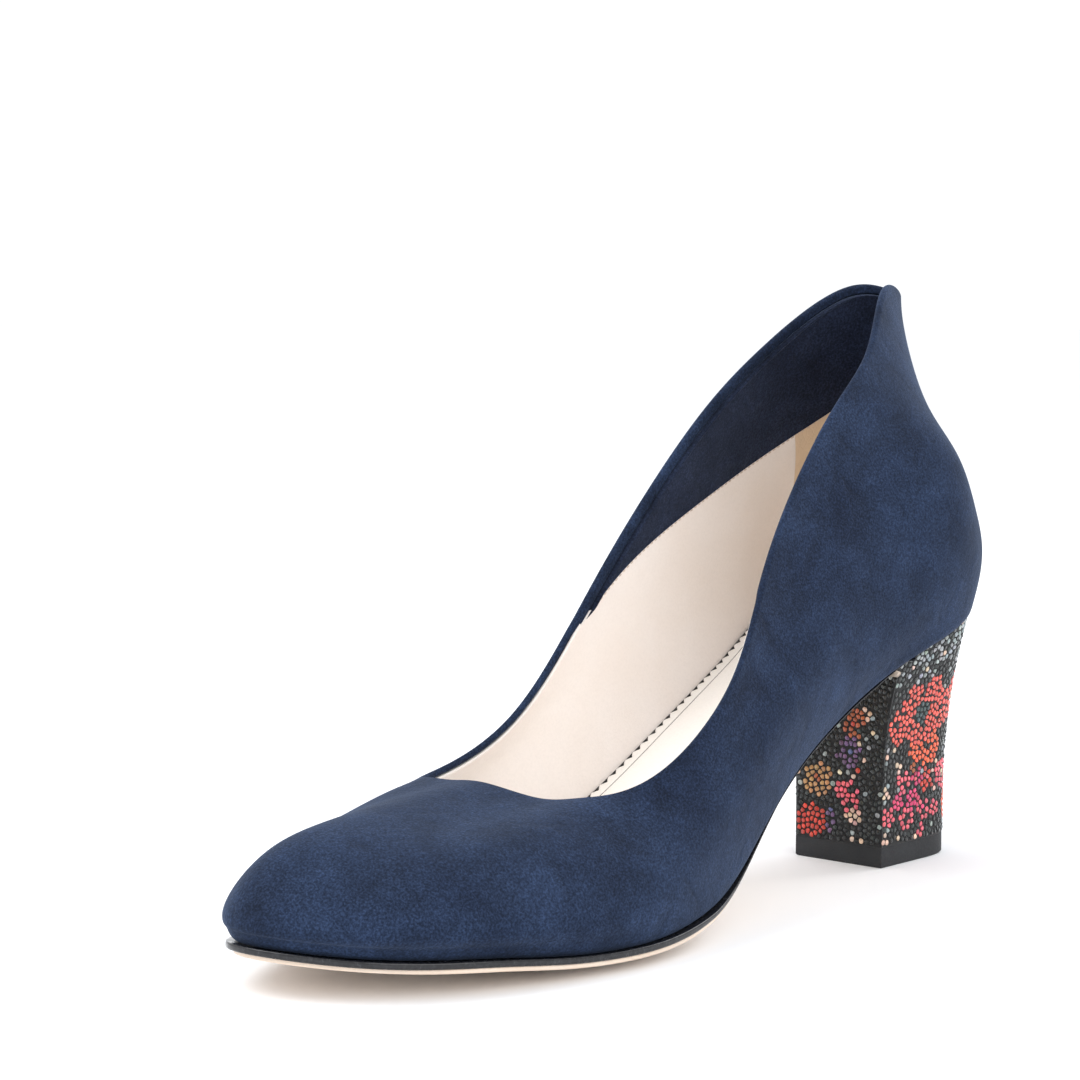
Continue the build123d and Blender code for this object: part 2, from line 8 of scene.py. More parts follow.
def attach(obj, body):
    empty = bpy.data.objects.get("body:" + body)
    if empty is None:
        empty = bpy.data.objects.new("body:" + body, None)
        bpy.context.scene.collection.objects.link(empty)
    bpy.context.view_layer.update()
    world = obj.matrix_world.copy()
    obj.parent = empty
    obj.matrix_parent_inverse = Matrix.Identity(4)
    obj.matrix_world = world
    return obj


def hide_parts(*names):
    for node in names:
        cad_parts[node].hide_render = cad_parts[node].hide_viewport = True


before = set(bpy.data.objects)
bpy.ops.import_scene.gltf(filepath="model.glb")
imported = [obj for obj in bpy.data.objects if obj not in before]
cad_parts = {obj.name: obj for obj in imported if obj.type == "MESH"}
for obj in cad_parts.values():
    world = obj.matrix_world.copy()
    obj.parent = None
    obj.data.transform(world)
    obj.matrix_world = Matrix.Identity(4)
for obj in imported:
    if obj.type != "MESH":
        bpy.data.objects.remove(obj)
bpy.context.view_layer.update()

# High heel pump, left shoe: navy suede upper, pale leather inside, block heel covered in
# a flowered foil-dot cloth. Shapes are worked out in the CAD's millimetres, in its frame
# (toe -Y, lateral side +X, +Z up), and become metres when a mesh is made.
MM = 0.001

# ---------------------------------------------------------------- sizes, as in the CAD
SUEDE, TAPE, LINING, LAYER_GAP = 1.0, 0.5, 0.7, 0.05
LINING_FACE = SUEDE + TAPE + LINING + 2 * LAYER_GAP
FEATHER_RADIUS = 2.6
MARGIN = 11.0
INSOLE, SOCK, HEEL_PAD = 2.2, 0.8, 1.6
SOCK_LOW = LINING_FACE + INSOLE + 2 * LAYER_GAP
RUNNER, OUTSOLE, RUNNER_TOP = 1.5, 1.0, -0.1
SOLE_PROUD = 0.5
FACING_FRONT = 4.27
FACING_LOW = [0.74, 0.67, 0.61, 0.72, 0.92, 0.96]
GRIP_FRONT = 1.8
HEEL_BREAST_Y, HEEL_ROUND_Y, HEEL_CENTRE_X = 80.0, 98.0, -0.6
HEEL_COVER = 0.6
TOP_PIECE = 5.3
HEEL_SECTIONS = [
    (0.0, 13.5, 16.0), (12.0, 13.5, 16.0), (26.0, 13.8, 16.2), (36.0, 14.8, 16.6),
    (45.0, 16.6, 16.3), (54.0, 19.2, 15.6), (62.0, 21.6, 15.4), (72.0, 23.5, 15.4),
]

# Outlines round the last at 18 stations: 0 is the back seam, 9 the toe's tip; the
# lateral side lies between them and the medial side beyond. They are the CAD's, but for
# a collar up to 1 mm higher at the throat and a heel tab 3 mm lower at its tip.
FEATHER = [
    (0.0, 115.0), (19.0, 109.5), (26.0, 91.5), (24.0, 65.5), (24.5, 30.0), (33.0, -6.0),
    (38.5, -40.5), (31.0, -79.0), (14.5, -108.0), (-7.5, -119.5), (-21.5, -107.5),
    (-31.5, -84.0), (-36.5, -52.0), (-31.0, -14.0), (-23.5, 28.0), (-24.5, 66.0),
    (-26.5, 90.0), (-19.0, 108.0),
]
BULGE = [
    (-1.5, 120.0, 85.0), (19.0, 112.5, 83.5), (29.5, 93.5, 78.5), (29.0, 66.5, 65.5),
    (28.5, 30.0, 45.0), (34.5, -8.0, 26.0), (39.5, -44.0, 15.0), (32.5, -82.0, 15.0),
    (17.0, -108.5, 16.0), (-6.5, -119.7, 17.5), (-23.0, -108.0, 17.0), (-33.5, -84.5, 16.0),
    (-39.5, -54.0, 15.5), (-34.0, -14.0, 24.0), (-28.0, 28.0, 44.0), (-28.5, 66.0, 65.0),
    (-30.5, 90.0, 77.0), (-21.5, 110.5, 82.5),
]
SIDE = [
    (-3.0, 116.0, 110.0), (12.5, 105.5, 105.5), (27.5, 90.5, 102.0), (28.5, 64.5, 85.0),
    (30.5, 30.5, 60.5), (34.0, -8.0, 36.0), (35.5, -42.0, 25.0), (27.0, -75.0, 27.0),
    (12.0, -97.0, 28.0), (-7.0, -106.0, 30.5), (-18.5, -96.5, 27.5), (-28.0, -76.5, 26.0),
    (-35.0, -50.0, 25.0), (-34.0, -14.0, 33.5), (-29.0, 28.0, 58.0), (-28.5, 64.0, 84.0),
    (-27.0, 88.0, 100.5), (-19.0, 106.0, 106.5),
]
COLLAR = [
    (-2.4, 106.6, 131.0), (7.5, 99.0, 127.0), (19.5, 79.5, 118.0), (22.5, 56.0, 102.0),
    (26.0, 25.0, 74.5), (32.0, -5.0, 48.0), (30.5, -34.5, 33.0), (22.0, -55.0, 32.3),
    (10.0, -67.5, 33.0), (-5.0, -73.0, 35.1), (-15.5, -69.0, 34.0), (-25.0, -59.5, 33.2),
    (-32.0, -43.0, 31.0), (-31.5, -13.0, 40.5), (-28.5, 21.0, 68.0), (-26.5, 54.0, 98.5),
    (-23.5, 79.0, 118.0), (-12.5, 99.0, 128.5),
]
TOPLINE = [
    (-3.2, 108.4, 144.3), (4.0, 93.0, 146.9), (14.0, 72.0, 132.0), (18.0, 50.5, 116.0),
    (23.0, 21.5, 86.0), (30.5, -2.5, 58.0), (28.0, -28.0, 39.5), (18.0, -40.0, 35.0),
    (9.0, -45.0, 34.5), (-3.0, -49.0, 37.0), (-13.0, -49.0, 36.5), (-22.0, -48.0, 36.0),
    (-29.5, -39.0, 35.5), (-28.5, -13.0, 46.0), (-27.0, 15.5, 77.0), (-24.5, 46.5, 110.5),
    (-20.5, 72.0, 131.5), (-11.5, 97.5, 146.8),
]
STATIONS = len(FEATHER)
STATION_LENGTH = 30.0         # usual distance between two stations
BACK_STATION_LENGTH = 20.0    # and beside the back seam
LEVELS = [0.0, 0.24, 0.52, 0.8, 1.0]
BOTTOM_Y = [-124, -108, -94, -79, -64, -50, -36, -22, -6, 10, 30, 48, 66, 92, 110, 124]
BOTTOM_Z = [
    12.0, 9.4, 7.8, 6.1, 3.7, 2.4, 2.7, 4.9, 9.5, 18.3, 31.2, 41.4, 50.2, 59.3, 64.0, 67.2,
]
CROWN, CROWN_Y, CROWN_LENGTH, BALL_HALF_WIDTH = 2.8, -48.0, 42.0, 38.0


# ---------------------------------------------------------------- the last's surface
def closed_spline(points, u):
    """Smooth closed curve through the points, one unit of u from each to the next."""
    points = np.asarray(points, float)
    n = len(points)
    after, before = np.roll(points, -1, axis=0), np.roll(points, 1, axis=0)
    eye = np.eye(n)
    matrix = 4 * eye + np.roll(eye, 1, axis=1) + np.roll(eye, -1, axis=1)
    slopes = np.linalg.solve(matrix, 3 * (after - before))
    u = np.asarray(u, float) % n
    i = np.minimum(u.astype(int), n - 1)
    j = (i + 1) % n
    t = (u - i)[..., None]
    from_start = points[i] * (1 + 2 * t) * (1 - t) ** 2 + slopes[i] * t * (1 - t) ** 2
    from_end = points[j] * t ** 2 * (3 - 2 * t) + slopes[j] * t ** 2 * (t - 1)
    return from_start + from_end


def spline_bends(knots, values):
    """Second derivatives of the natural cubic spline through values at the knots."""
    n = len(knots)
    step = np.diff(knots)
    matrix, right = np.eye(n), np.zeros(values.shape)
    for k in range(1, n - 1):
        matrix[k, k - 1:k + 2] = step[k - 1], 2 * (step[k - 1] + step[k]), step[k]
        rise = (values[k + 1] - values[k]) / step[k]
        fall = (values[k] - values[k - 1]) / step[k - 1]
        right[k] = 6 * (rise - fall)
    return np.linalg.solve(matrix, right.reshape(n, -1)).reshape(values.shape)


def open_spline(knots, values, x, pick=()):
    """Natural cubic spline at x. pick chooses among splines that share the knots."""
    knots, values = np.asarray(knots, float), np.asarray(values, float)
    bends = spline_bends(knots, values)
    i = np.clip(np.searchsorted(knots, x) - 1, 0, len(knots) - 2)
    h = knots[i + 1] - knots[i]
    a, b = (knots[i + 1] - x) / h, (x - knots[i]) / h
    if pick:
        a, b, h = a[..., None], b[..., None], h[..., None]
    straight = a * values[(i,) + pick] + b * values[(i + 1,) + pick]
    curve = (a ** 3 - a) * bends[(i,) + pick] + (b ** 3 - b) * bends[(i + 1,) + pick]
    return straight + curve * h * h / 6


def bottom_height(x, y):
    """Height of the last's bottom: a side profile, with a ball that is crowned."""
    profile = open_spline(BOTTOM_Y, BOTTOM_Z, np.asarray(y, float))
    crown = CROWN * np.exp(-(((y - CROWN_Y) / CROWN_LENGTH) ** 2))
    return profile + crown * (x / BALL_HALF_WIDTH) ** 2


def feather_plan(u, inset=0.0):
    """Feather line in plan, moved inwards by inset."""
    along = closed_spline(FEATHER, u + 0.01) - closed_spline(FEATHER, u - 0.01)
    along /= np.linalg.norm(along, axis=-1, keepdims=True)
    inwards = np.stack([along[..., 1], -along[..., 0]], axis=-1)
    return closed_spline(FEATHER, u) + inwards * np.asarray(inset)[..., None]


def under_points(u, inset):
    """The upper's outside under the last, a distance in from the feather line."""
    plan = feather_plan(u, inset)
    turn = np.clip(FEATHER_RADIUS - inset, 0, FEATHER_RADIUS)
    rise = FEATHER_RADIUS - np.sqrt(FEATHER_RADIUS ** 2 - turn ** 2)
    height = bottom_height(plan[..., 0], plan[..., 1]) + rise
    return np.concatenate([plan, height[..., None]], axis=-1)


def wall_points(u, w):
    """The upper's outside above the feather line, up to the topline at w = 1."""
    lines = [under_points(u, np.zeros(u.shape))]
    lines += [closed_spline(line, u) for line in (BULGE, SIDE, COLLAR, TOPLINE)]
    columns = np.broadcast_to(np.arange(len(u))[:, None], w.shape)
    return open_spline(LEVELS, np.stack(lines), w, (columns,))


def upper_points(u, w):
    """Outside of the upper: w is -1 at the lasting margin's edge, 0 at the feather
    line and 1 at the topline."""
    across = np.broadcast_to(u[:, None], w.shape)
    under = under_points(across, np.maximum(-w, 0) * MARGIN)
    return np.where((w < 0)[..., None], under, wall_points(u, np.maximum(w, 0)))


def layer_points(u, w, depth):
    """The upper's outside moved inwards by depth, square to its surface. At the back
    seam the two sides stop at the plane between them."""
    w = np.broadcast_to(w, (len(u), np.shape(w)[-1]))
    du, dw = 0.02, 0.012
    along_u = upper_points(u + du, w) - upper_points(u - du, w)
    along_w = upper_points(u, w + dw) - upper_points(u, w - dw)
    normal = np.cross(along_u, along_w)
    normal /= np.linalg.norm(normal, axis=-1, keepdims=True)
    points = upper_points(u, w) + normal * np.broadcast_to(depth, w.shape)[..., None]
    seam_x = upper_points(np.zeros(len(u)), w)[..., 0]
    around = u % STATIONS
    lateral, medial = (around < 1)[:, None], (around > STATIONS - 1)[:, None]
    points[..., 0] = np.where(lateral, np.maximum(points[..., 0], seam_x), points[..., 0])
    points[..., 0] = np.where(medial, np.minimum(points[..., 0], seam_x), points[..., 0])
    return points


def topline_rate(u):
    """Millimetres of wall for one unit of w, just below the topline."""
    rows = upper_points(u, np.broadcast_to([0.96, 1.0], (len(u), 2)))
    return np.linalg.norm(rows[:, 1] - rows[:, 0], axis=-1) / 0.04


def from_back(u):
    """Stations between u and the back seam, on either side."""
    return np.abs((np.asarray(u) + STATIONS / 2) % STATIONS - STATIONS / 2)


def facing_low(u):
    """Row of the facing's lower edge."""
    return open_spline(np.arange(6.0), FACING_LOW, from_back(u))


def smooth(x):
    """0 up to x = 0, 1 from x = 1 on, with a level start and end."""
    x = np.clip(x, 0, 1)
    return x * x * (3 - 2 * x)


# ---------------------------------------------------------------- meshes
def grid_faces(n, m, closed_n=False, closed_m=False):
    """Quads of an n by m grid of points, joined end to end where it is closed."""
    i = np.arange(n if closed_n else n - 1)[:, None]
    j = np.arange(m if closed_m else m - 1)[None, :]
    i_next, j_next = (i + 1) % n, (j + 1) % m
    corners = [i * m + j, i_next * m + j, i_next * m + j_next, i * m + j_next]
    return np.stack(np.broadcast_arrays(*corners), axis=-1).reshape(-1, 4)


def make_piece(name, points, faces, material, replaces=(), merge=0.002):
    """Object from points in millimetres, riding on the shoe."""
    mesh = bpy.data.meshes.new(name)
    mesh.from_pydata((np.asarray(points, float) * MM).tolist(), [], [list(map(int, f)) for f in faces])
    tidy = bmesh.new()
    tidy.from_mesh(mesh)
    if merge:
        bmesh.ops.remove_doubles(tidy, verts=tidy.verts, dist=merge * MM)
    bmesh.ops.recalc_face_normals(tidy, faces=tidy.faces)
    for face in tidy.faces:
        face.smooth = True
    tidy.to_mesh(mesh)
    tidy.free()
    mesh.materials.append(material)
    piece = bpy.data.objects.new(name, mesh)
    bpy.context.scene.collection.objects.link(piece)
    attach(piece, "root")
    if replaces:
        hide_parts(*replaces)
    return piece


def shell(front, back):
    """Points and faces of the closed solid between two matching grids of points."""
    n, m = front.shape[:2]
    points = np.concatenate([front.reshape(-1, 3), back.reshape(-1, 3)])
    grid = grid_faces(n, m)
    border = [(i, 0) for i in range(n)] + [(n - 1, j) for j in range(1, m)]
    border += [(i, m - 1) for i in range(n - 2, -1, -1)] + [(0, j) for j in range(m - 2, 0, -1)]
    ring = np.array([i * m + j for i, j in border])
    after = np.roll(ring, -1)
    rim = np.stack([ring, after, after + n * m, ring + n * m], axis=-1)
    return points, np.concatenate([grid, grid[:, ::-1] + n * m, rim])


def ladder(loop, start, height, across=14):
    """Faces that fill a closed loop of points whose indices begin at start: rungs run
    from side to side. Returns the extra points and the faces."""
    n = len(loop)
    half = n // 2
    first_extra = start + n
    share = np.linspace(0, 1, across + 2)[1:-1, None]
    extra, rungs = [], []
    for k in range(1, half):
        rung = loop[k] + (loop[n - k] - loop[k]) * share
        rung[:, 2] = height(rung[:, 0], rung[:, 1])
        ids = first_extra + len(extra) + np.arange(across)
        extra += list(rung)
        rungs.append([start + k, *ids, start + n - k])
    faces = [(start, a, b) for a, b in zip(rungs[0], rungs[0][1:])]
    faces += [(start + half, b, a) for a, b in zip(rungs[-1], rungs[-1][1:])]
    for one, two in zip(rungs, rungs[1:]):
        faces += [(a, c, d, b) for a, b, c, d in zip(one, one[1:], two, two[1:])]
    return extra, faces


def plate(loops, low, high):
    """Closed solid of a flat piece: loops run from its underside's rim, round its edge
    to its top's rim, and ladders fill the two ends."""
    n = len(loops[0])
    points = [point for loop in loops for point in loop]
    faces = [tuple(face) for face in grid_faces(len(loops), n, closed_m=True)]
    for loop, start, height in ((loops[0], 0, low), (loops[-1], (len(loops) - 1) * n, high)):
        extra, more = ladder(loop, start, height)
        shift = len(points) - (start + n)
        moved = [tuple(v + shift if v >= start + n else v for v in face) for face in more]
        faces += moved
        points += extra
    return points, faces


# ---------------------------------------------------------------- materials
def new_material(name):
    """Material, its node tree and its shader."""
    material = bpy.data.materials.new(name)
    material.use_nodes = True
    return material, material.node_tree, material.node_tree.nodes["Principled BSDF"]


def add(tree, kind, **values):
    """Node with its sockets and settings set by name."""
    node = tree.nodes.new(kind)
    for key, value in values.items():
        if key in node.inputs:
            node.inputs[key].default_value = value
        else:
            setattr(node, key, value)
    return node


def feed(tree, node, **values):
    """Links or sets the sockets of a node, named with _ for a space."""
    for key, value in values.items():
        socket = node.inputs[key.replace("_", " ")]
        if isinstance(value, bpy.types.NodeSocket):
            tree.links.new(value, socket)
        else:
            socket.default_value = value


def noise(tree, scale, detail=3.0, roughness=0.55, distortion=0.0):
    """Noise fixed to the object, scale in cells per metre."""
    place = add(tree, "ShaderNodeTexCoord")
    texture = add(tree, "ShaderNodeTexNoise", Scale=scale, Detail=detail,
                  Roughness=roughness, Distortion=distortion)
    feed(tree, texture, Vector=place.outputs["Object"])
    return texture.outputs["Fac"]


def ramp(tree, value, *stops):
    """Colours or greys by value. stops are (position, colour or grey)."""
    node = tree.nodes.new("ShaderNodeValToRGB")
    while len(node.color_ramp.elements) < len(stops):
        node.color_ramp.elements.new(1.0)
    for element, (position, colour) in zip(node.color_ramp.elements, stops):
        element.position = position
        element.color = (*(colour if isinstance(colour, tuple) else (colour,) * 3), 1.0)
    feed(tree, node, Fac=value)
    return node.outputs["Color"]


def multiply(tree, a, b):
    """Product of two colour sockets."""
    node = add(tree, "ShaderNodeMix", data_type="RGBA", blend_type="MULTIPLY")
    node.inputs[0].default_value = 1.0
    tree.links.new(a, node.inputs[6])
    tree.links.new(b, node.inputs[7])
    return node.outputs[2]


def bump(tree, height, strength, distance, below=None):
    """Normal socket of a bump, on top of the one below."""
    node = add(tree, "ShaderNodeBump", Strength=strength, Distance=distance)
    feed(tree, node, Height=height)
    if below is not None:
        feed(tree, node, Normal=below)
    return node.outputs["Normal"]


def shade(colour, factor, lift=0.0):
    """Colour made darker or lighter."""
    return tuple(min(c * factor + lift, 1) for c in colour)


def suede_material(name, dark, light, sheen):
    """Napped suede: soft patches where the nap lies another way, and a fine grain."""
    material, tree, shader = new_material(name)
    patches = noise(tree, 34, 2.5, 0.6, 0.6)
    streaks = noise(tree, 105, 3.0, 0.6, 0.8)
    grain = noise(tree, 1900, 2.0, 0.7)
    nap = ramp(tree, patches, (0.30, dark), (0.66, light))
    soft = ramp(tree, streaks, (0.3, 0.72), (0.7, 1.20))
    fine = ramp(tree, grain, (0.34, 0.55), (0.5, 0.95), (0.70, 1.75))
    creases = bump(tree, streaks, 0.35, 0.0012)
    feed(tree, shader, Base_Color=multiply(tree, multiply(tree, nap, soft), fine),
         Roughness=ramp(tree, grain, (0.3, 0.98), (0.75, 0.8)),
         Sheen_Weight=sheen, Sheen_Roughness=0.42, Sheen_Tint=(0.50, 0.66, 1.0, 1),
         Specular_IOR_Level=0.18, Normal=bump(tree, grain, 0.55, 0.00022, creases))
    return material


def leather_material(name, colour, darker, roughness, pores=1500, depth=0.00004):
    """Smooth leather with fine pores and a slight unevenness of tone."""
    material, tree, shader = new_material(name)
    cloud = noise(tree, 45, 3.0, 0.55, 0.3)
    fine = noise(tree, pores, 3.0, 0.6)
    place = add(tree, "ShaderNodeTexCoord")
    cells = add(tree, "ShaderNodeTexVoronoi", Scale=pores * 0.9, feature="DISTANCE_TO_EDGE")
    feed(tree, cells, Vector=place.outputs["Object"])
    tone = ramp(tree, cloud, (0.3, darker), (0.68, colour))
    speck = ramp(tree, fine, (0.3, 0.97), (0.6, 1.01))
    pore = ramp(tree, cells.outputs["Distance"], (0.0, 0.0), (0.12, 1.0))
    grain = bump(tree, pore, 0.35, depth)
    feed(tree, shader, Base_Color=multiply(tree, tone, speck),
         Roughness=ramp(tree, fine, (0.3, roughness + 0.06), (0.7, roughness - 0.05)),
         Specular_IOR_Level=0.4, Normal=bump(tree, fine, 0.3, depth, grain))
    return material


def lacquer_material(name, colour, roughness):
    """Painted sole edge: glossy, with faint waves and a few dull scuffs."""
    material, tree, shader = new_material(name)
    wave = noise(tree, 260, 2.0, 0.5, 0.4)
    scuff = noise(tree, 900, 4.0, 0.65, 0.5)
    feed(tree, shader, Base_Color=ramp(tree, scuff, (0.45, colour), (0.78, shade(colour, 2.2, 0.01))),
         Roughness=ramp(tree, scuff, (0.5, roughness), (0.8, roughness + 0.25)),
         Coat_Weight=0.25, Coat_Roughness=0.05, Specular_IOR_Level=0.3,
         Normal=bump(tree, wave, 0.5, 0.0004))
    return material


def rubber_material(name, colour):
    """Moulded black rubber of the top piece."""
    material, tree, shader = new_material(name)
    fine = noise(tree, 2600, 2.0, 0.6)
    broad = noise(tree, 160, 3.0, 0.6)
    feed(tree, shader, Base_Color=ramp(tree, broad, (0.3, colour), (0.75, shade(colour, 1.5))),
         Roughness=ramp(tree, fine, (0.3, 0.72), (0.7, 0.5)), Specular_IOR_Level=0.35,
         Normal=bump(tree, fine, 0.4, 0.00008))
    return material


def cloth_material(name, colour):
    """Black woven ground under the foil dots."""
    material, tree, shader = new_material(name)
    fine = noise(tree, 1500, 2.0, 0.6)
    feed(tree, shader, Base_Color=ramp(tree, fine, (0.3, shade(colour, 0.5)), (0.7, colour)),
         Roughness=0.85, Sheen_Weight=0.15, Normal=bump(tree, fine, 0.6, 0.00015))
    return material


def foil_material(name):
    """Foil dots. Each dot's colour is stored on its points."""
    material, tree, shader = new_material(name)
    stored = add(tree, "ShaderNodeAttribute", attribute_name="dot_colour")
    fine = noise(tree, 1300, 2.0, 0.6)
    flecks = ramp(tree, fine, (0.32, 0.72), (0.6, 1.12))
    feed(tree, shader, Base_Color=multiply(tree, stored.outputs["Color"], flecks), Metallic=0.35,
         Roughness=ramp(tree, fine, (0.3, 0.34), (0.7, 0.16)), Coat_Weight=0.4,
         Coat_Roughness=0.15, Normal=bump(tree, fine, 0.25, 0.0001))
    return material


def plain_material(name, colour, roughness, metallic=0.0, scale=600):
    """Inner parts: even in colour, with a fine texture."""
    material, tree, shader = new_material(name)
    fine = noise(tree, scale, 4.0, 0.65)
    feed(tree, shader, Base_Color=ramp(tree, fine, (0.3, shade(colour, 0.78)), (0.7, shade(colour, 1.12))),
         Roughness=ramp(tree, fine, (0.3, roughness), (0.7, roughness * 0.8)),
         Metallic=metallic, Normal=bump(tree, fine, 0.3, 0.0001))
    return material


SUEDE_NAVY = suede_material("navy_suede", (0.0060, 0.0115, 0.0290), (0.0165, 0.0290, 0.0640), 0.14)
FACING_NAVY = suede_material("facing_navy", (0.0070, 0.0105, 0.0250), (0.0150, 0.0215, 0.0450), 0.25)
PALE_LEATHER = leather_material("lining_leather", (0.95, 0.885, 0.84), (0.92, 0.84, 0.78), 0.40)
GRIP_LEATHER = leather_material("grip_leather", (0.80, 0.63, 0.45), (0.72, 0.54, 0.37), 0.62,
                                pores=700, depth=0.0001)
SOCK_LEATHER = leather_material("sock_leather", (0.97, 0.93, 0.875), (0.95, 0.90, 0.84), 0.34)
BLACK_EDGE = lacquer_material("black_edge", (0.012, 0.012, 0.014), 0.16)
TAN_SOLE = leather_material("tan_sole", (0.84, 0.70, 0.58), (0.78, 0.62, 0.49), 0.45)
BLACK_CLOTH = cloth_material("glitter_ground", (0.007, 0.007, 0.008))
FOIL = foil_material("glitter_dots")
RUBBER = rubber_material("black_rubber", (0.016, 0.017, 0.019))
PALE_THREAD = plain_material("pale_thread", (0.72, 0.60, 0.50), 0.6)
BORDER_DARK = plain_material("border_dark", (0.09, 0.075, 0.06), 0.7)
# painted shade: black for the raised edging that stands in for the shadow between the sock's teeth
GAP_SHADE_PAINT = plain_material("gap_shade_black", (0.010, 0.010, 0.010), 0.85)


# ---------------------------------------------------------------- upper
TURN_BACK = 2.2          # how far the upper is folded in below the topline, at the facing
TURN_FRONT = 1.2         # and where the lining's edge takes over
ROLL_BACK = 1.0          # radius of the folded edge along the facing
ROLL_FRONT = (SUEDE + TAPE + LAYER_GAP) / 2   # and round the throat
GROOVE_DEPTH, GROOVE_REACH = 0.32, 0.75       # the back seam's dip


def past_facing(u):
    """0 along the facing and 1 in front of it."""
    return smooth((from_back(u) - FACING_FRONT + 0.02) / 0.12)


def roll_radius(u):
    """Radius of the folded topline edge."""
    return ROLL_BACK + (ROLL_FRONT - ROLL_BACK) * past_facing(u)


def turned_width(u):
    """How far down the inside the fold reaches."""
    return TURN_BACK + (TURN_FRONT - TURN_BACK) * past_facing(u)


def soften(points, weight):
    """Evens out the points along each column, by a weight for each row."""
    for _ in range(9):
        middle = (points[:, :-2] + points[:, 2:]) / 2
        points[:, 1:-1] += 0.5 * weight[1:-1, None] * (middle - points[:, 1:-1])


def seam_groove(u):
    """Dip of the surface along the back seam, in millimetres."""
    distance = from_back(u) * BACK_STATION_LENGTH
    return GROOVE_DEPTH * np.exp(-(distance / GROOVE_REACH) ** 2)


def unevenness(points):
    """Small swells of the soft leather, in millimetres."""
    x, y, z = np.moveaxis(points, -1, 0)
    swell = np.sin(x / 9.0 + y / 17.0) * np.sin(y / 13.0 - z / 11.0 + 0.7)
    swell += 0.6 * np.sin(x / 5.5 - z / 7.5 + 1.3) * np.sin(y / 7.0 + z / 16.0)
    return 0.09 * swell


def make_upper():
    """Suede upper: lasting margin, wall, folded topline edge and its turned-in strip."""
    u = np.linspace(0, STATIONS, 760, endpoint=False)
    rate = topline_rate(u)[:, None]
    radius = roll_radius(u)[:, None]
    turned = turned_width(u)[:, None]
    one = np.ones((len(u), 1))
    flat = np.linspace(-1, -1.15 * FEATHER_RADIUS / MARGIN, 5)
    angles = np.radians(np.linspace(80, 10, 8))
    turn = -FEATHER_RADIUS / MARGIN * (1 - np.cos(angles))
    under = np.concatenate([flat, turn]) * one
    top = 1 - radius / rate
    wall = top * np.linspace(0, 1, 92)
    roll = np.radians(np.linspace(12, 180, 15))
    rolled = 1 - radius * (1 - np.sin(roll)) / rate
    strip = 1 - (radius + (turned - radius) * np.linspace(0.2, 1, 7)) / rate
    step = 1 - (turned + np.array([0.12, 0.3, 0.5])) / rate
    inner_top = 1 - (turned + 0.9) / rate
    inner = inner_top * np.linspace(1, 0.02, 26)
    inner_under = np.linspace(-0.05, -1, 10) * one
    w = np.hstack([under, wall, rolled, strip, step, inner, inner_under])
    outer = np.zeros((len(u), under.shape[1] + wall.shape[1]))
    outer[:, under.shape[1]:] += seam_groove(u)[:, None]
    fold = radius * (1 - np.cos(roll)) + seam_groove(u)[:, None] * (1 - smooth(roll / 1.6))
    band = 2 * radius * np.ones(strip.shape)
    edge = SUEDE + (2 * radius - SUEDE) * np.array([0.8, 0.35, 0.06])
    hidden = SUEDE * np.ones((len(u), inner.shape[1] + inner_under.shape[1]))
    depth = np.hstack([outer, fold, band, edge, hidden])
    points = layer_points(u, w, depth)
    outside = layer_points(u, w, depth + 1.0) - points
    swell = unevenness(points) * smooth(w / 0.12) * smooth((1 - w) / 0.06)
    rows = under.shape[1] + wall.shape[1]
    points[:, :rows] += outside[:, :rows] * swell[:, :rows, None]
    near_feather = np.arange(w.shape[1]) - under.shape[1]
    weight = smooth((near_feather + 8) / 5.0) * smooth((11 - near_feather) / 7.0)
    soften(points, weight)
    faces = grid_faces(len(u), w.shape[1], closed_n=True, closed_m=True)
    return make_piece("upper", points.reshape(-1, 3), faces, SUEDE_NAVY,
                      ["upper_suede", "topline_tape"])


def quarter_round(distance, width):
    """0 at an edge, 1 from width on, rising as a quarter of a circle."""
    t = np.clip(distance / width, 0, 1)
    return np.sqrt(1 - (1 - t) ** 2)


def edge_spaced(length, width, count):
    """Positions from 0 to length, close together within width of both ends."""
    near = width * (1 - np.cos(np.linspace(0, np.pi / 2, 6)))
    middle = np.linspace(width, length - width, count)[1:-1]
    return np.concatenate([near, middle, length - near[::-1]])


def make_panel(name, first, last, low, high, near, far, material, replaces,
               edges=(True, True, True, True), count=(60, 40), width=0.35, ridge=0.0):
    """Sheet on the inside of the upper from station first to last and from row low(u) to
    row high(u). Its edges are rounded: lower, upper, first end, last end. A ridge runs
    along its upper edge."""
    span = last - first
    end = width / STATION_LENGTH
    u = first + edge_spaced(span, end, count[0])
    rate = topline_rate(u)[:, None]
    low_w, high_w = low(u)[:, None], high(u)[:, None]
    height = (high_w - low_w) * rate
    share = edge_spaced(1.0, 0.02, count[1])
    w = low_w + (high_w - low_w) * share
    rise = height * share
    from_first, to_last = [(ahead * STATION_LENGTH)[:, None] for ahead in (u - first, last - u)]
    keep = np.ones(w.shape)
    for rounded, distance in zip(edges, (rise, height - rise, from_first, to_last)):
        if rounded:
            keep = keep * quarter_round(distance, width)
    lift = ridge * np.exp(-((height - rise - RIDGE_AT) / RIDGE_WIDTH) ** 2)
    inside = layer_points(u, w, far + lift * keep - (far - near) * 0.55 * (1 - keep))
    outside = layer_points(u, w, np.full(w.shape, near))
    points, faces = shell(inside, outside)
    return make_piece(name, points, faces, material, replaces, merge=0)


LINING_NEAR = SUEDE + TAPE + 2 * LAYER_GAP
LINING_FOOT = -0.75                   # row of the linings' lower edge, under the last
FACING_FACE = LINING_FACE + 0.25     # the facing laps over the lining
FACING_TOP = TURN_BACK + 0.45         # its upper edge, below a groove
RIDGE, RIDGE_AT, RIDGE_WIDTH = 0.5, 0.42, 0.28


def lining_foot(u):
    """Row function: the linings' lower edge."""
    return np.full(u.shape, LINING_FOOT)


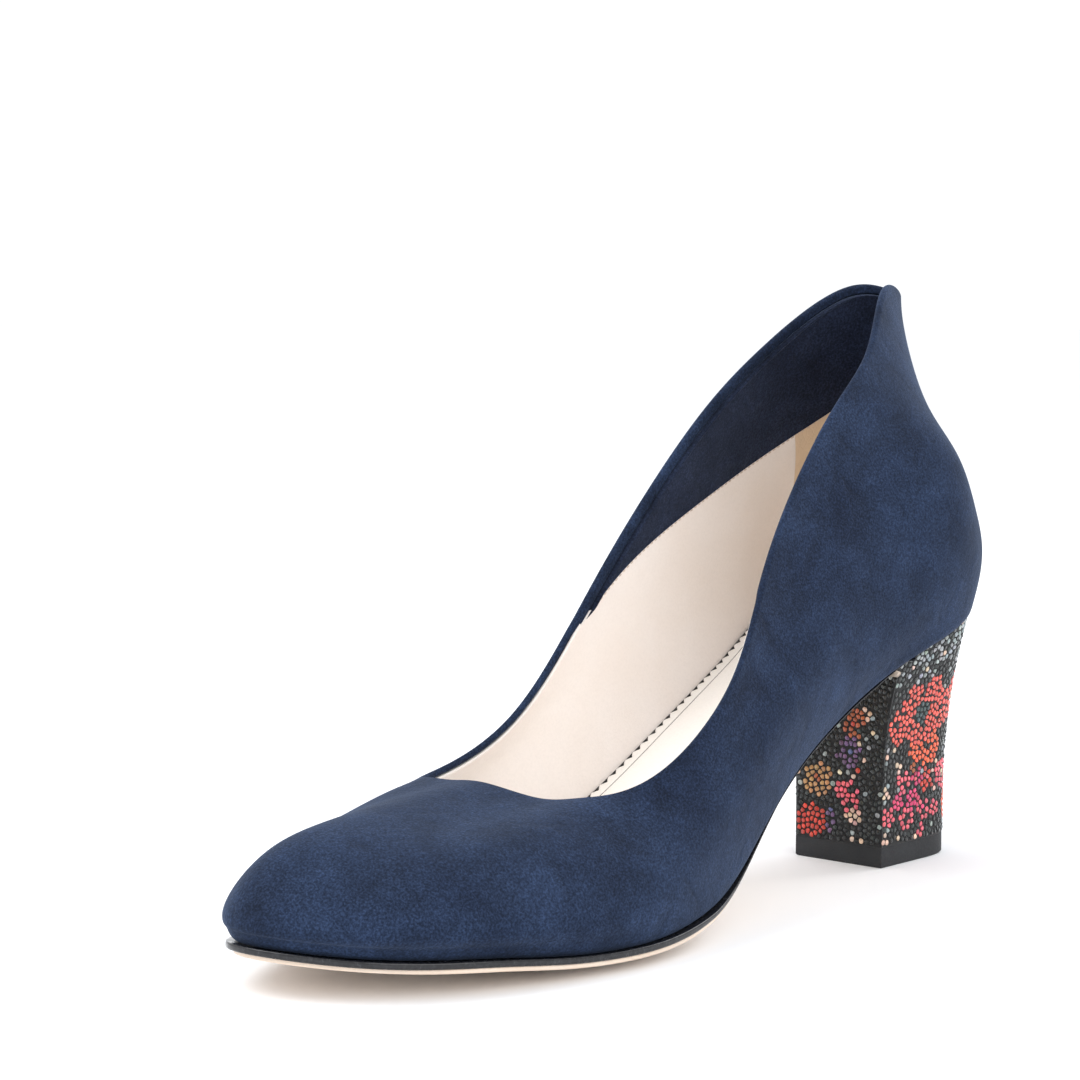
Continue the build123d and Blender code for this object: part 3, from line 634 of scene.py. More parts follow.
def lining_top(u):
    """Row function: the quarter linings' upper edge, at the facing."""
    return facing_low(u) + 0.01


def below_topline(distance):
    """Row function: a distance in millimetres below the topline."""
    return lambda u: 1 - distance / topline_rate(u)


def make_facings():
    """Navy suede facing inside each quarter, with a raised ridge along its top."""
    for side, first, last, node in (
        ("lateral", 0.0, FACING_FRONT, "facing_lateral"),
        ("medial", STATIONS - FACING_FRONT, STATIONS, "facing_medial"),
    ):
        make_panel(f"facing_{side}_suede", first, last, facing_low, below_topline(FACING_TOP),
                   LINING_NEAR, FACING_FACE, FACING_NAVY, [node],
                   count=(150, 70), width=0.4, ridge=RIDGE)


def make_linings():
    """Pale leather linings of the vamp and quarters, and the grip in the heel."""
    front = STATIONS - FACING_FRONT
    make_panel("vamp_lining_leather", FACING_FRONT, front, lining_foot,
               below_topline(1.5), LINING_NEAR, LINING_FACE, PALE_LEATHER,
               ["vamp_lining"], edges=(False, True, False, False), count=(360, 60), width=0.6)
    for side, first, last, node in (
        ("lateral", GRIP_FRONT, FACING_FRONT, "quarter_lining_lateral"),
        ("medial", front, STATIONS - GRIP_FRONT, "quarter_lining_medial"),
    ):
        make_panel(f"quarter_lining_{side}_leather", first, last, lining_foot, lining_top,
                   LINING_NEAR, LINING_FACE, PALE_LEATHER, [node],
                   edges=(False, False, False, False), count=(90, 50))
    make_panel("heel_grip_suede", STATIONS - GRIP_FRONT, STATIONS + GRIP_FRONT,
               lining_foot, lining_top, LINING_NEAR, LINING_FACE + 0.06, GRIP_LEATHER,
               ["heel_grip"],
               edges=(False, False, True, True), count=(140, 50), width=0.25)


# ---------------------------------------------------------------- bottom
RIM_STATIONS = 720


def pad_rise(y):
    """Thickness of the heel pad, tapering to nothing at its front edge."""
    return HEEL_PAD * smooth((y - 56.0) / 22.0)


def runner_thickness(y):
    """Height of the black sole edge, which thins towards the waist."""
    return np.interp(y, [-25.0, 12.0, HEEL_BREAST_Y], [RUNNER, 0.45, 0.4])


def outsole_rise(y):
    """Height of the outsole's underside below the last's bottom, as a negative number."""
    return np.interp(y, [-25.0, 12.0, 18.0], [-2.65, -1.5, -1.15])


def sole_inset(y):
    """The sole stands proud round the forepart and tucks in at the waist and breast."""
    return np.interp(y, [-15.0, 22.0, 64.0, HEEL_BREAST_Y], [-SOLE_PROUD, 1.3, 1.3, 2.6])


def inner_plan(u, rise):
    """Plan points where the lining's face stands rise above the last's bottom."""
    low, high = np.zeros(len(u)), np.full(len(u), 0.5)
    for _ in range(24):
        middle = (low + high) / 2
        point = layer_points(u, middle[:, None], LINING_FACE)[:, 0]
        above = point[:, 2] - bottom_height(point[:, 0], point[:, 1]) > rise
        low, high = np.where(above, low, middle), np.where(above, middle, high)
    return point[:, :2]


def inset_plan(plan, inset):
    """Closed plan outline moved inwards."""
    along = np.roll(plan, -1, axis=0) - np.roll(plan, 1, axis=0)
    along /= np.linalg.norm(along, axis=-1, keepdims=True)
    inwards = np.stack([along[:, 1], -along[:, 0]], axis=-1)
    return plan + inwards * np.broadcast_to(inset, len(plan))[:, None]


def rim(plan, inset, height):
    """Plan outline moved inwards and raised to height(x, y)."""
    line = inset_plan(plan, inset)
    return np.column_stack([line, height(line[:, 0], line[:, 1])])


def cut_outline(plan, y, keep_front):
    """Closed outline cut straight across at y. It starts at the end that is kept."""
    if keep_front:
        plan = np.roll(plan, -(len(plan) // 2), axis=0)
    kept = plan[:, 1] <= y if keep_front else plan[:, 1] >= y
    first, last = np.argmin(kept), len(plan) - np.argmin(kept[::-1])
    bridge = plan[first - 1] + (plan[last] - plan[first - 1]) * np.linspace(0, 1, 41)[1:-1, None]
    return np.concatenate([plan[:first], bridge, plan[last:]])


def path_length(points, closed=True):
    """Length along a line of points, at each point."""
    step = np.linalg.norm(np.roll(points, -1, axis=0) - points, axis=-1)
    total = np.concatenate([[0.0], np.cumsum(step)])
    return total if closed else total[:-1]


TOOTH = 2.7              # pitch of the sock's pinked edge
TOOTH_DEPTH = 1.25
SOCK_FRONT_Y = -75.0
CREASE = 3.4             # pressed line inside the sock's edge


def sock_bottom(x, y):
    """Height of the sock's underside, on the boards and the pad."""
    return bottom_height(x, y) + SOCK_LOW + pad_rise(y) + LAYER_GAP


def sock_level(share):
    """Height function: a share of the sock's thickness above its underside."""
    return lambda x, y: sock_bottom(x, y) + SOCK * share


def sock_plan(count):
    """Sock's outline, straight across at its front, before its edge is pinked."""
    plan = inner_plan(np.linspace(0, STATIONS, count, endpoint=False), SOCK_LOW + 0.4)
    plan[:, 1] = np.maximum(plan[:, 1], SOCK_FRONT_Y)
    return plan


def make_sock():
    """Sock lining with a pinked edge and a pressed border line."""
    plan = sock_plan(2400)
    length = path_length(plan)
    teeth = round(length[-1] / TOOTH)
    turns = length[:-1] / length[-1] * teeth
    forward = smooth((-8.0 - plan[:, 1]) / 26.0)            # the teeth close up there
    sharpness = 1.3 + 1.2 * forward
    notch = TOOTH_DEPTH * (1 - 0.5 * forward) * np.abs(2 * (turns % 1.0) - 1) ** sharpness
    loops = []
    for inset, share, part in (
        (2.6, 0.0, 0.0), (2.4, 0.0, 0.0), (2.2, 0.7, 0.1), (0.30, 0.72, 1.0),
        (0.24, 0.82, 1.0), (0.34, 1.0, 1.0), (0.9, 1.04, 0.75), (1.7, 1.06, 0.2),
        (CREASE - 0.7, 1.08, 0.0), (CREASE - 0.2, 1.04, 0.0), (CREASE, 0.86, 0.0),
        (CREASE + 0.2, 1.04, 0.0), (CREASE + 0.7, 1.08, 0.0), (6.0, 1.08, 0.0),
    ):
        loops.append(rim(plan, inset + notch * part, sock_level(share)))
    points, faces = plate(loops, sock_bottom, sock_level(1.08))
    return make_piece("sock", points, faces, SOCK_LEATHER, ["sock_lining"])


def make_border_line():
    """Fine dark line laid in the groove of the sock's pressed border."""
    plan = sock_plan(1200)
    profile = ((-0.13, 0.84), (-0.10, 0.98), (0.10, 0.98), (0.13, 0.84))
    columns = [rim(plan, CREASE + inset, sock_level(share)) for inset, share in profile]
    points = np.stack(columns, axis=1).reshape(-1, 3)
    faces = grid_faces(len(plan), 4, closed_n=True, closed_m=True)
    make_piece("sock_border_line", points, faces, BORDER_DARK, merge=0)


def make_gap_shade_edge():
    """Black edging raised between the sock's teeth and the lining: painted shade for the shadow that shows
    in the gaps between the teeth.
    """
    u = np.linspace(0, STATIONS, RIM_STATIONS, endpoint=False)
    plan = inner_plan(u, SOCK_LOW + 0.4)

    def top(x, y):
        return sock_bottom(x, y) - 0.12

    def raised(x, y):
        return top(x, y) + 0.62

    def low(x, y):
        return bottom_height(x, y) + LINING_FACE + 0.1
    steps = ((3.0, low), (0.9, low), (0.12, top), (0.05, raised), (1.9, raised), (2.1, top), (3.0, top))
    points, faces = plate([rim(plan, *step) for step in steps], low, top)
    return make_piece("gap_shade_board", points, faces, GAP_SHADE_PAINT)


def make_heel_pad():
    """Foam pad under the sock, crowned and feathered to nothing at its front."""
    u = np.linspace(0, STATIONS, 480, endpoint=False)
    plan = cut_outline(feather_plan(u, np.full(u.shape, 7.0)), 60.0, keep_front=False)

    def level(share):
        return lambda x, y: bottom_height(x, y) + SOCK_LOW + share * pad_rise(y) * 0.97
    profile = ((0.9, 0.0), (0.1, 0.12), (0.0, 0.45), (0.5, 0.8), (1.6, 0.97), (3.0, 1.0))
    loops = [rim(plan, inset, level(share)) for inset, share in profile]
    points, faces = plate(loops, level(0.0), level(1.0))
    pad = make_piece("heel_pad_foam", points, faces, FOAM, ["heel_pad"])
    return pad


def runner_bottom(x, y):
    """Height of the black sole edge's underside."""
    return bottom_height(x, y) + RUNNER_TOP - runner_thickness(y)


def sole_plan():
    """Outline that the sole edge and the outsole are set in from."""
    u = np.linspace(0, STATIONS, RIM_STATIONS, endpoint=False)
    return cut_outline(feather_plan(u), HEEL_BREAST_Y + 0.5, keep_front=True)


def make_runner():
    """Black lacquered sole edge, rounded, from the toe to the heel."""
    plan = sole_plan()
    inset = sole_inset(plan[:, 1])
    loops = []
    for angle in np.radians([-90, -72, -54, -36, -18, 0, 18, 36, 54, 72, 90]):
        line = inset_plan(plan, inset + 0.36 * (1 - np.cos(angle)))
        thick = runner_thickness(line[:, 1])
        middle = bottom_height(line[:, 0], line[:, 1]) + RUNNER_TOP - thick / 2
        bow = np.sign(np.sin(angle)) * np.abs(np.sin(angle)) ** 0.75
        loops.append(np.column_stack([line, middle + thick / 2 * bow]))
    points, faces = plate(loops, runner_bottom, lambda x, y: bottom_height(x, y) + RUNNER_TOP)
    return make_piece("sole_edge", points, faces, BLACK_EDGE, ["sole_runner"])


def make_outsole():
    """Leather outsole, set in under the black edge and bevelled; its tread is flat."""
    plan = sole_plan()
    forward = smooth((-88.0 - plan[:, 1]) / 22.0)           # set further in round the toe
    hidden = 5.5 * smooth((plan[:, 1] - 60.0) / 20.0)       # out of sight at the heel
    inset = sole_inset(plan[:, 1]) + 0.55 + 1.1 * forward + hidden
    bevel = np.interp(plan[:, 1], [-20.0, 20.0], [0.35, 1.3])

    def low(x, y):
        return np.maximum(bottom_height(x, y) + outsole_rise(y), 0.0)

    def high(x, y):
        return np.maximum(runner_bottom(x, y) - 0.02, low(x, y) + 0.3)
    loops = []
    for deeper, share in ((1.0, 0.0), (0.45, 0.06), (0.16, 0.3), (0.0, 0.7), (0.0, 1.0)):
        loops.append(rim(plan, inset + bevel * deeper,
                         lambda x, y: low(x, y) + (high(x, y) - low(x, y)) * share))
    points, faces = plate(loops, low, high)
    return make_piece("outsole_leather", points, faces, TAN_SOLE, ["outsole"])


# ---------------------------------------------------------------- heel
ROUNDNESS = 3.0
HEEL_FRONT_Y = HEEL_BREAST_Y + HEEL_COVER + LAYER_GAP
DOT_PITCH = 1.20         # least distance between the middles of two dots, when scattered
DOT_GAP = 0.25           # bare cloth left between two dots
DOT_REACH = 0.76         # largest dot radius
DOT_HEIGHT = 0.25
DOT_SIDES = 10


def heel_outline(share, z, inset=0.0):
    """Plan points of the heel's D at height z. share is 0 at the breast's lateral
    corner, 1 and 2 at the ends of the round back and 3 at the medial corner."""
    heights, halves, backs = np.array(HEEL_SECTIONS).T
    half = open_spline(heights, halves, z) - inset
    back = open_spline(heights, backs, z) - inset
    turn = np.pi * np.clip(share - 1, 0, 1)
    across = (np.abs(np.cos(turn)) / half) ** ROUNDNESS
    behind = (np.abs(np.sin(turn)) / back) ** ROUNDNESS
    radius = (across + behind) ** (-1 / ROUNDNESS)
    straight = np.maximum(np.maximum(1 - share, share - 2), 0)
    x = HEEL_CENTRE_X + radius * np.cos(turn)
    y = HEEL_ROUND_Y + radius * np.sin(turn) - straight * (HEEL_ROUND_Y - HEEL_FRONT_Y)
    return x, y


def seat_height(x, y):
    """Height of the heel's seat, against the sole."""
    return bottom_height(x, y) + RUNNER_TOP


def heel_wall(inset, columns=200, rows=90):
    """Grid of points on the heel's wall, from the top piece up to the seat."""
    share = np.linspace(0, 3, columns)
    ceiling = np.full(share.shape, HEEL_SECTIONS[-1][0])
    for _ in range(8):
        ceiling = seat_height(*heel_outline(share, ceiling, inset))
    z = TOP_PIECE + np.linspace(0, 1, rows) * (ceiling[:, None] - TOP_PIECE)
    x, y = heel_outline(share[:, None], z, inset)
    return np.stack([x, y, z], axis=-1)


def heel_half(z):
    """Half of the heel's width at height z."""
    heights, halves, _ = np.array(HEEL_SECTIONS).T
    return open_spline(heights, halves, z)


def make_heel_cover():
    """Ground cloth of the foil dots: one piece round the heel and one on its breast."""
    points, faces = shell(heel_wall(0.0), heel_wall(HEEL_COVER))
    wrap = make_piece("heel_cover_cloth", points, faces, BLACK_CLOTH,
                      ["heel_wrap"], merge=0)
    top = seat_height(0.0, HEEL_BREAST_Y) - OUTSOLE - 2 * LAYER_GAP
    z = np.linspace(TOP_PIECE, float(top), 60)
    x = HEEL_CENTRE_X + heel_half(z) * np.linspace(-1, 1, 50)[:, None]
    z = np.broadcast_to(z, x.shape)
    front, back = [np.stack([x, np.full(x.shape, y), z], axis=-1)
                   for y in (HEEL_BREAST_Y, HEEL_BREAST_Y + HEEL_COVER)]
    points, faces = shell(front, back)
    breast = make_piece("heel_breast_cloth", points, faces, BLACK_CLOTH,
                        ["heel_breast_cover"], merge=0)


# Flowers of dots, by side of the heel. Each is (distance along the wall, height, radius,
# colour), in millimetres, and may go on with its heart's colour and the heart's radius. The
# distance starts at the breast's corner on that side; on the breast it is measured from
# the heel's middle.
HEART = 0.8                              # usual radius of a heart
FLOWERS = {
    "lateral": [
        (14.0, 38.3, 3.0, "shade", "teal", 3.0), (5.6, 36.0, 5.0, "coral"),
        (8.5, 41.5, 4.6, "coral"), (14.5, 38.3, 7.8, "coral"), (17.8, 45.0, 3.2, "coral"),
        (21.5, 38.5, 5.6, "coral"), (13.6, 29.6, 4.0, "orange"), (18.8, 28.8, 4.8, "orange"),
        (12.4, 24.6, 1.2, "rust"), (8.6, 21.0, 2.7, "pink"),
        (14.2, 21.4, 2.7, "magenta", "pink"), (19.0, 20.6, 3.0, "red", "pink"),
        (6.4, 16.3, 2.4, "magenta"), (13.2, 16.2, 3.0, "magenta"),
        (17.6, 13.0, 2.8, "pink", "magenta"), (10.3, 11.4, 3.1, "pink"),
        (1.9, 12.6, 2.8, "pink"), (16.4, 7.9, 1.5, "pink"), (22.6, 12.6, 2.4, "pink"),
        # The small cream dots less than 1 mm from the breast's corner are painted glints where the rounded
        # corner catches the light; cream dots elsewhere are the cloth's own.
        (0.6, 28.8, 1.1, "cream"), (6.4, 25.0, 1.7, "cream"), (0.7, 18.6, 1.7, "cream"),
        (0.8, 7.7, 1.9, "cream"), (0.8, 36.8, 1.3, "cream", "gold"),
        (27.0, 21.0, 4.2, "pink", "cream", 1.2), (30.5, 42.0, 6.4, "coral", "gold", 2.0),
        (33.0, 13.5, 5.2, "orange", "shade", 1.6),
    ],
    "medial": [
        (14.0, 34.0, 9.4, "coral", "teal", 3.0), (8.5, 16.0, 5.2, "magenta", "cream", 1.4),
        (20.5, 14.5, 4.8, "orange"), (26.5, 25.5, 4.0, "pink", "gold", 1.2),
        (5.0, 47.5, 3.0, "cream"), (27.0, 50.0, 3.4, "pink"),
    ],
    "breast": [
        (-8.6, 10.0, 4.6, "red"), (-6.6, 21.0, 4.4, "gold", "rust", 1.3),
        (2.8, 17.6, 4.0, "pink"), (4.6, 12.8, 2.4, "cream"),
        (3.0, 28.8, 4.0, "violet", "blue", 1.2), (5.0, 36.4, 3.8, "rust", "red"),
        (8.6, 38.8, 1.9, "cream"), (6.2, 24.0, 1.0, "red"), (-2.4, 9.0, 1.4, "violet"),
        (-2.6, 13.0, 1.4, "violet", "blue"), (-10.2, 33.5, 5.0, "rust", "gold", 1.6),
        (-2.0, 44.5, 4.0, "red", "gold"),
    ],
}
DOT_COLOURS = {
    "coral": (0.78, 0.115, 0.085), "orange": (0.82, 0.13, 0.055), "pink": (0.76, 0.12, 0.16),
    "magenta": (0.62, 0.055, 0.15), "cream": (0.72, 0.50, 0.38), "gold": (0.45, 0.24, 0.10),
    "rust": (0.36, 0.09, 0.035), "red": (0.55, 0.05, 0.03), "violet": (0.14, 0.075, 0.17),
    "blue": (0.085, 0.10, 0.22), "shade": (0.050, 0.062, 0.060), "dark": (0.006, 0.008, 0.008),
    "grey": (0.022, 0.027, 0.027), "silver_and_highlight": (0.30, 0.33, 0.34), "teal": (0.030, 0.060, 0.058),
}
SHARE_STEP, HEIGHT_STEP = 0.05, 0.5      # from a place on the wall to its two neighbours


def wall_place(side, along, z):
    """Point and outward normal of the heel's skin. along is the distance round the wall
    from the breast's corner, or across the breast from its middle."""
    if side == "breast":
        return np.array([HEEL_CENTRE_X + along, HEEL_BREAST_Y, z]), np.array([0.0, -1.0, 0.0])
    share = np.linspace(0, 1.6, 400)
    if side == "medial":
        share = 3 - share
    x, y = heel_outline(share, np.full(share.shape, float(z)))
    line = np.column_stack([x, y])
    here = float(np.interp(along, path_length(line, closed=False)[:len(line)], share))
    spots = []
    for at, height in ((here, z), (here + SHARE_STEP, z), (here, z + HEIGHT_STEP)):
        x, y = heel_outline(np.array(at), np.array(float(height)))
        spots.append(np.array([float(x), float(y), height]))
    normal = np.cross(spots[1] - spots[0], spots[2] - spots[0])
    normal /= np.linalg.norm(normal)
    return spots[0], normal


def heel_skin():
    """Closely spaced places on the heel's skin that may carry a dot: their points,
    normals and the area each one stands for."""
    wall = heel_wall(0.0, 900, 230)
    normal = np.cross(np.gradient(wall, axis=0), np.gradient(wall, axis=1))
    area = np.linalg.norm(normal, axis=-1)
    clear = wall[..., 2] > TOP_PIECE + 0.8
    clear &= wall[..., 2] < seat_height(wall[..., 0], wall[..., 1]) - 0.9
    clear &= wall[..., 1] > HEEL_FRONT_Y + 0.1
    top = float(seat_height(0.0, HEEL_BREAST_Y)) - OUTSOLE - 0.9
    z, x = np.meshgrid(np.arange(TOP_PIECE + 0.8, top, 0.2), np.arange(-19.0, 18.0, 0.2))
    fits = np.abs(x - HEEL_CENTRE_X) < heel_half(z) - 0.5
    breast = np.stack([x, np.full(x.shape, HEEL_BREAST_Y), z], axis=-1)[fits]
    points = np.concatenate([wall[clear], breast])
    ahead = np.tile([0.0, -1.0, 0.0], (len(breast), 1))
    normals = np.concatenate([(normal / area[..., None])[clear], ahead])
    return points, normals, np.concatenate([area[clear], np.full(len(breast), 0.04)])


def scatter(rng, points, area):
    """Indices of places at least DOT_PITCH apart, as close as chance packs them."""
    tried = rng.permutation(np.flatnonzero(rng.random(len(points)) < area * 6.0))
    kept = np.empty((len(tried), 3))
    chosen = []
    for index in tried:
        near = kept[:len(chosen)] - points[index]
        if not chosen or (near * near).sum(axis=1).min() > DOT_PITCH ** 2:
            kept[len(chosen)] = points[index]
            chosen.append(index)
    return np.array(chosen)


def dot_cells(points, normals):
    """Outline of each dot's cell: its two tangents, its angles and the radius at each."""
    tree = KDTree(len(points))
    for index, point in enumerate(points):
        tree.insert(point, index)
    tree.balance()
    right = np.cross(normals, [0.0, 0.0, 1.0])
    right /= np.linalg.norm(right, axis=-1, keepdims=True)
    up = np.cross(right, normals)
    angles = np.arange(DOT_SIDES) * 2 * np.pi / DOT_SIDES
    near = np.array([[index for _, index, _ in tree.find_n(point, 9)][1:] for point in points])
    offset = points[near] - points[:, None]
    distance = np.linalg.norm(offset, axis=-1)
    heading = np.arctan2((offset * up[:, None]).sum(-1), (offset * right[:, None]).sum(-1))
    facing = np.cos(angles[None, :, None] - heading[:, None])
    limit = (distance / 2 - DOT_GAP / 2)[:, None] / np.maximum(facing, 0.12)
    return right, up, angles, np.minimum(limit.min(axis=-1), DOT_REACH)


def relax(points, normals, chosen, rounds=4):
    """Moves each dot towards the middle of its cell, along the skin."""
    skin = KDTree(len(points))
    for index, point in enumerate(points):
        skin.insert(point, index)
    skin.balance()
    for _ in range(rounds):
        right, up, angles, radius = dot_cells(points[chosen], normals[chosen])
        weight = (radius ** 2).sum(axis=1)
        x = 2 / 3 * (radius ** 3 * np.cos(angles)).sum(axis=1) / weight
        y = 2 / 3 * (radius ** 3 * np.sin(angles)).sum(axis=1) / weight
        aims = points[chosen] + right * x[:, None] + up * y[:, None]
        chosen = np.array([skin.find(aim)[1] for aim in aims])
    return np.unique(chosen)


def placed_flowers():
    """Each flower's middle, outward normal, radius, colour, heart's colour and radius."""
    flowers = []
    for side, rows in FLOWERS.items():
        for along, z, radius, colour, *heart in rows:
            heart += [colour, HEART][len(heart):]
            flowers.append((*wall_place(side, along, z), radius, colour, *heart))
    return flowers


def dot_colour(rng, place, normal, flowers):
    """Colour of a dot: its flower's, a heart's, or the ground's."""
    name = None
    for middle, direction, radius, colour, heart_colour, heart_radius in flowers:
        distance = np.linalg.norm(place - middle)
        if normal @ direction > 0.3 and distance < radius:
            name = heart_colour if distance < heart_radius else colour
            break
    if name is None or rng.random() < 0.04:
        # Dots turn silver more often towards the top of the heel: painted highlight where the glossy dark
        # dots catch the light. The small share of silver dots everywhere is the cloth's own print.
        silver_and_highlight = 0.06 + 0.5 * np.clip((place[2] - 43.0) / 14.0, 0, 1)
        name = rng.choice(["dark", "grey", "silver_and_highlight", "cream"], p=[0.60 - silver_and_highlight, 0.36, silver_and_highlight, 0.04])
    tint = (1 + rng.normal(0, 0.13)) * (1 + rng.normal(0, 0.05, 3))
    return np.clip(np.array(DOT_COLOURS[name]) * tint, 0.004, 1)


def make_dots():
    """Foil dots: low domes shaped by their neighbours, in one mesh."""
    rng = np.random.default_rng(37)
    points, normals, area = heel_skin()
    chosen = relax(points, normals, scatter(rng, points, area))
    places, facing = points[chosen], normals[chosen]
    right, up, angles, radius = dot_cells(places, facing)
    radius = radius * rng.uniform(0.93, 1.03, radius.shape)
    flowers = placed_flowers()
    colours = [dot_colour(rng, place, normal, flowers) for place, normal in zip(places, facing)]
    tilt = rng.normal(0, 0.07, (2, len(places), 1))
    x, y = radius * np.cos(angles), radius * np.sin(angles)
    levels = []
    for scale, rise in ((1.0, -0.08), (0.97, 0.38), (0.80, 0.80), (0.42, 1.0)):
        lift = DOT_HEIGHT * rise + max(rise, 0) * (x * tilt[0] + y * tilt[1])
        flat = right[:, None] * (x * scale)[..., None] + up[:, None] * (y * scale)[..., None]
        levels.append(places[:, None] + flat + facing[:, None] * lift[..., None])
    ends = [places + facing * height for height in (DOT_HEIGHT * 1.02, -0.05)]
    count = DOT_SIDES * len(levels) + 2
    cloud = np.concatenate([np.concatenate(levels, axis=1), np.stack(ends, axis=1)], axis=1)
    faces = []
    for base in range(0, len(places) * count, count):
        for ring in range(base, base + DOT_SIDES * (len(levels) - 1), DOT_SIDES):
            for j in range(DOT_SIDES):
                a, b = ring + j, ring + (j + 1) % DOT_SIDES
                faces.append((a, b, b + DOT_SIDES, a + DOT_SIDES))
        last = base + DOT_SIDES * (len(levels) - 1)
        for j in range(DOT_SIDES):
            k = (j + 1) % DOT_SIDES
            faces.append((last + j, last + k, base + count - 2))
            faces.append((base + k, base + j, base + count - 1))
    piece = make_piece("heel_foil_dots", cloud.reshape(-1, 3), faces, FOIL, merge=0)
    store = piece.data.color_attributes.new("dot_colour", "FLOAT_COLOR", "POINT")
    shades = np.column_stack([np.repeat(np.array(colours), count, axis=0), np.ones(len(places) * count)])
    store.data.foreach_set("color", shades.astype(np.float32).ravel())
    return piece


# ---------------------------------------------------------------- stitches
def make_stitches(name, places, directions, normals, length, radius, material, slot):
    """Short rounded stitches, one at each place."""
    profile = [(-1.0, 0.15), (-0.8, 0.75), (-0.3, 1.0), (0.3, 1.0), (0.8, 0.75), (1.0, 0.15)]
    sides = 8
    points, faces = [], []
    for place, along, normal in zip(places, directions, normals):
        across = np.cross(normal, along)
        base = len(points)
        for t, scale in profile:
            for k in range(sides):
                angle = 2 * np.pi * k / sides
                ring = across * np.cos(angle) + normal * np.sin(angle)
                dive = normal * (-0.5 * radius * t * t)
                points.append(place + along * (t * length / 2) + ring * radius * scale + dive)
        for i in range(len(profile) - 1):
            for k in range(sides):
                a, b = base + i * sides + k, base + i * sides + (k + 1) % sides
                faces.append((a, b, b + sides, a + sides))
        faces.append(tuple(base + k for k in range(sides)))
        faces.append(tuple(base + (len(profile) - 1) * sides + k for k in reversed(range(sides))))
    return make_piece(name, points, faces, material, merge=0)


def inside_path(first, last, row, depth, pitch):
    """Evenly spaced places along a row of the upper's inside, with their directions."""
    u = np.linspace(first, last, 900)
    line = layer_points(u, row(u)[:, None], np.full((len(u), 1), depth))[:, 0]
    length = path_length(line, closed=False)[:len(line)]
    marks = np.arange(pitch / 2, length[-1], pitch)
    at = np.interp(marks, length, u)
    rows = row(at)[:, None]
    places = layer_points(at, rows, np.full(rows.shape, depth))[:, 0]
    ahead = layer_points(at + 0.01, row(at + 0.01)[:, None], np.full(rows.shape, depth))[:, 0]
    deeper = layer_points(at, rows, np.full(rows.shape, depth + 1.0))[:, 0]
    directions, normals = ahead - places, deeper - places
    directions /= np.linalg.norm(directions, axis=-1, keepdims=True)
    normals /= np.linalg.norm(normals, axis=-1, keepdims=True)
    return places, directions, normals


def make_all_stitches():
    """Row of pale stitches along the lower edge of each facing."""
    sides = ((0.06, FACING_FRONT - 0.2), (STATIONS - FACING_FRONT + 0.2, STATIONS - 0.06))
    low = [inside_path(*side, lambda u: facing_low(u) - 0.25 / topline_rate(u), LINING_FACE + 0.02, 1.7)
           for side in sides]
    make_stitches("facing_stitches", *[np.concatenate(parts) for parts in zip(*low)],
                  1.15, 0.16, PALE_THREAD, "lining_leather")


# ---------------------------------------------------------------- inner parts
FOAM = plain_material("foam", (0.75, 0.70, 0.55), 0.9, scale=1400)
CARRIED = {
    "toe_puff": plain_material("stiffener", (0.62, 0.58, 0.50), 0.8),
    "heel_counter": plain_material("counter_board", (0.50, 0.40, 0.30), 0.8),
    "interlining": plain_material("woven_backer", (0.80, 0.78, 0.72), 0.9, scale=1800),
    "insole_front": plain_material("fibre_board", (0.20, 0.17, 0.14), 0.8),
    "shank_board": plain_material("shank_board", (0.18, 0.15, 0.12), 0.8),
    "bottom_filler": plain_material("cork", (0.42, 0.26, 0.14), 0.9, scale=420),
    "steel_shank": plain_material("spring_steel", (0.45, 0.45, 0.46), 0.35, 1.0, 300),
    "shank_rivets": plain_material("rivet_steel", (0.55, 0.55, 0.56), 0.3, 1.0, 300),
    "heel_core": plain_material("heel_plastic", (0.06, 0.06, 0.065), 0.5),
    "top_piece": RUBBER,
    "top_piece_pins": plain_material("pin_steel", (0.5, 0.5, 0.5), 0.3, 1.0, 300),
    "heel_screw": plain_material("screw_steel", (0.5, 0.5, 0.5), 0.3, 1.0, 300),
    "heel_nails": plain_material("nail_steel", (0.5, 0.5, 0.5), 0.35, 1.0, 300),
}


def dress_cad_nodes():
    """Gives the CAD nodes that keep their shape their own materials."""
    for node, material in CARRIED.items():
        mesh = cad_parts[node].data
        if not mesh.materials:
            mesh.materials.append(material)
        for index in range(len(mesh.materials)):
            mesh.materials[index] = material


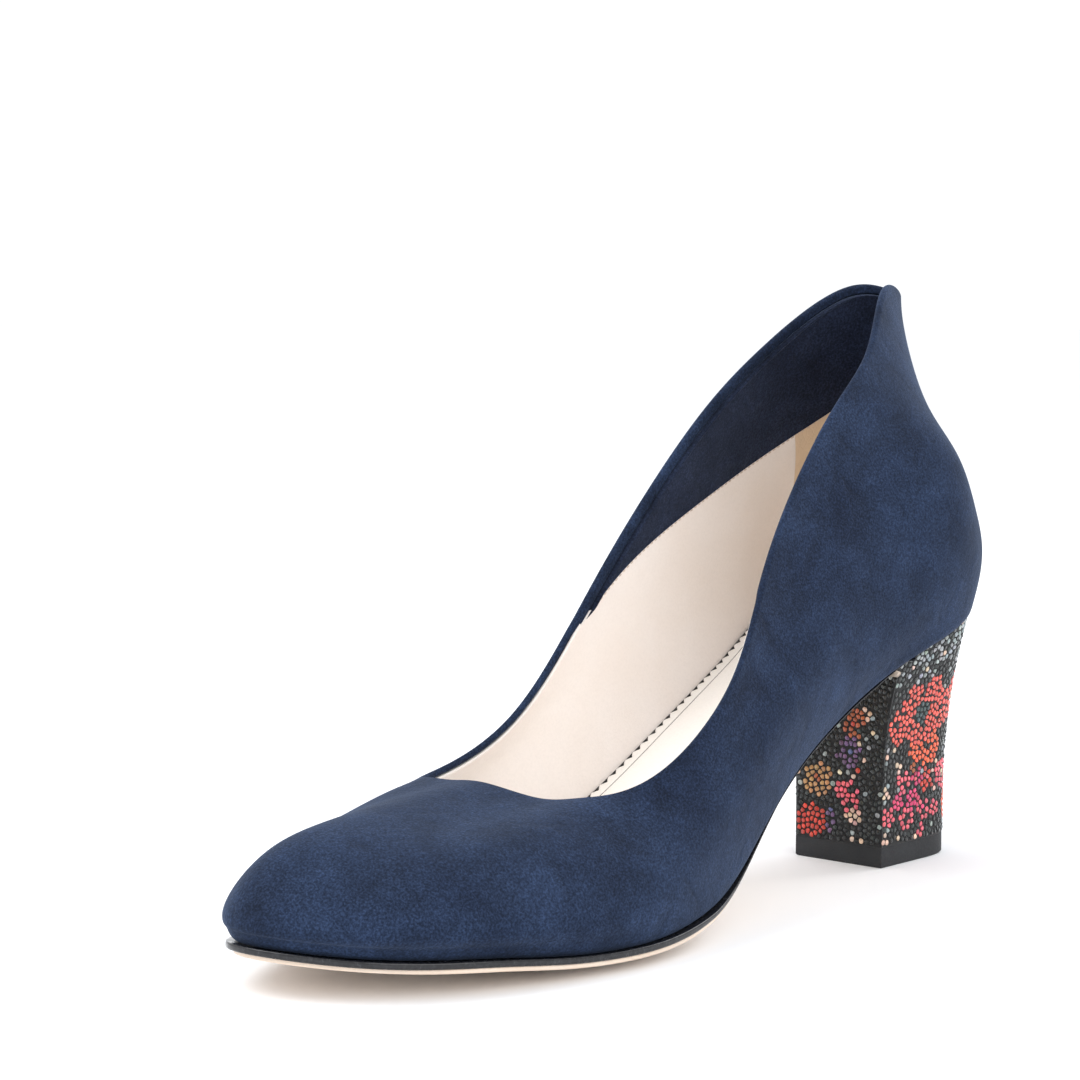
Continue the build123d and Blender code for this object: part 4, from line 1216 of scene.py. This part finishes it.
# ---------------------------------------------------------------- stage, light, camera
def make_stage():
    """Large pale floor under a white sky."""
    half = 6000.0
    corners = [(-half, -half, 0.0), (half, -half, 0.0), (half, half, 0.0), (-half, half, 0.0)]
    mesh = bpy.data.meshes.new("floor")
    mesh.from_pydata((np.array(corners) * MM).tolist(), [], [(0, 1, 2, 3)])
    material, tree, shader = new_material("studio_white")
    feed(tree, shader, Base_Color=(0.965, 0.975, 0.99, 1), Roughness=0.9, Specular_IOR_Level=0.05)
    mesh.materials.append(material)
    floor = bpy.data.objects.new("floor", mesh)
    bpy.context.scene.collection.objects.link(floor)


def make_light(name, place, size, power):
    """Round soft light aimed at the middle of the shoe."""
    data = bpy.data.lights.new(name, "AREA")
    data.shape = "DISK"
    data.size = size
    data.energy = power
    light = bpy.data.objects.new(name, data)
    light.location = place
    light.rotation_euler = (Vector(SHOE_MIDDLE) - Vector(place)).to_track_quat("-Z", "Y").to_euler()
    bpy.context.scene.collection.objects.link(light)


SHOE_MIDDLE = (0.0, 0.0, 0.06)
CAMERA_PLACE = (0.4491, -0.53375, 0.1516)
CAMERA_AZIMUTH = np.radians(41.98)
CAMERA_DOWN = np.radians(5.2)


def make_camera():
    """Camera ahead of the toe on the lateral side, a little above the shoe."""
    data = bpy.data.cameras.new("camera")
    data.lens = 100.0
    data.sensor_width = 36.0
    data.clip_start, data.clip_end = 0.01, 50.0
    camera = bpy.data.objects.new("camera", data)
    camera.location = CAMERA_PLACE
    camera.rotation_euler = (np.pi / 2 - CAMERA_DOWN, 0.0, CAMERA_AZIMUTH)
    bpy.context.scene.collection.objects.link(camera)
    bpy.context.scene.camera = camera


def make_lights():
    """White sky and three soft lights."""
    world = bpy.data.worlds.new("studio")
    world.use_nodes = True
    background = world.node_tree.nodes["Background"]
    background.inputs["Color"].default_value = (0.965, 0.98, 1.0, 1)
    background.inputs["Strength"].default_value = 1.08
    bpy.context.scene.world = world
    make_light("key", (-0.35, -0.75, 1.15), 0.9, 9.0)
    make_light("fill", (1.1, -0.3, 0.7), 0.9, 4.0)
    make_light("back", (0.2, 1.2, 0.9), 0.8, 5.0)
    bpy.context.scene.view_settings.view_transform = "Standard"


make_camera()
make_lights()
make_stage()
make_upper()
make_facings()
make_linings()
make_sock()
make_border_line()
make_gap_shade_edge()
make_heel_pad()
make_runner()
make_outsole()
make_heel_cover()
make_dots()
make_all_stitches()
dress_cad_nodes()
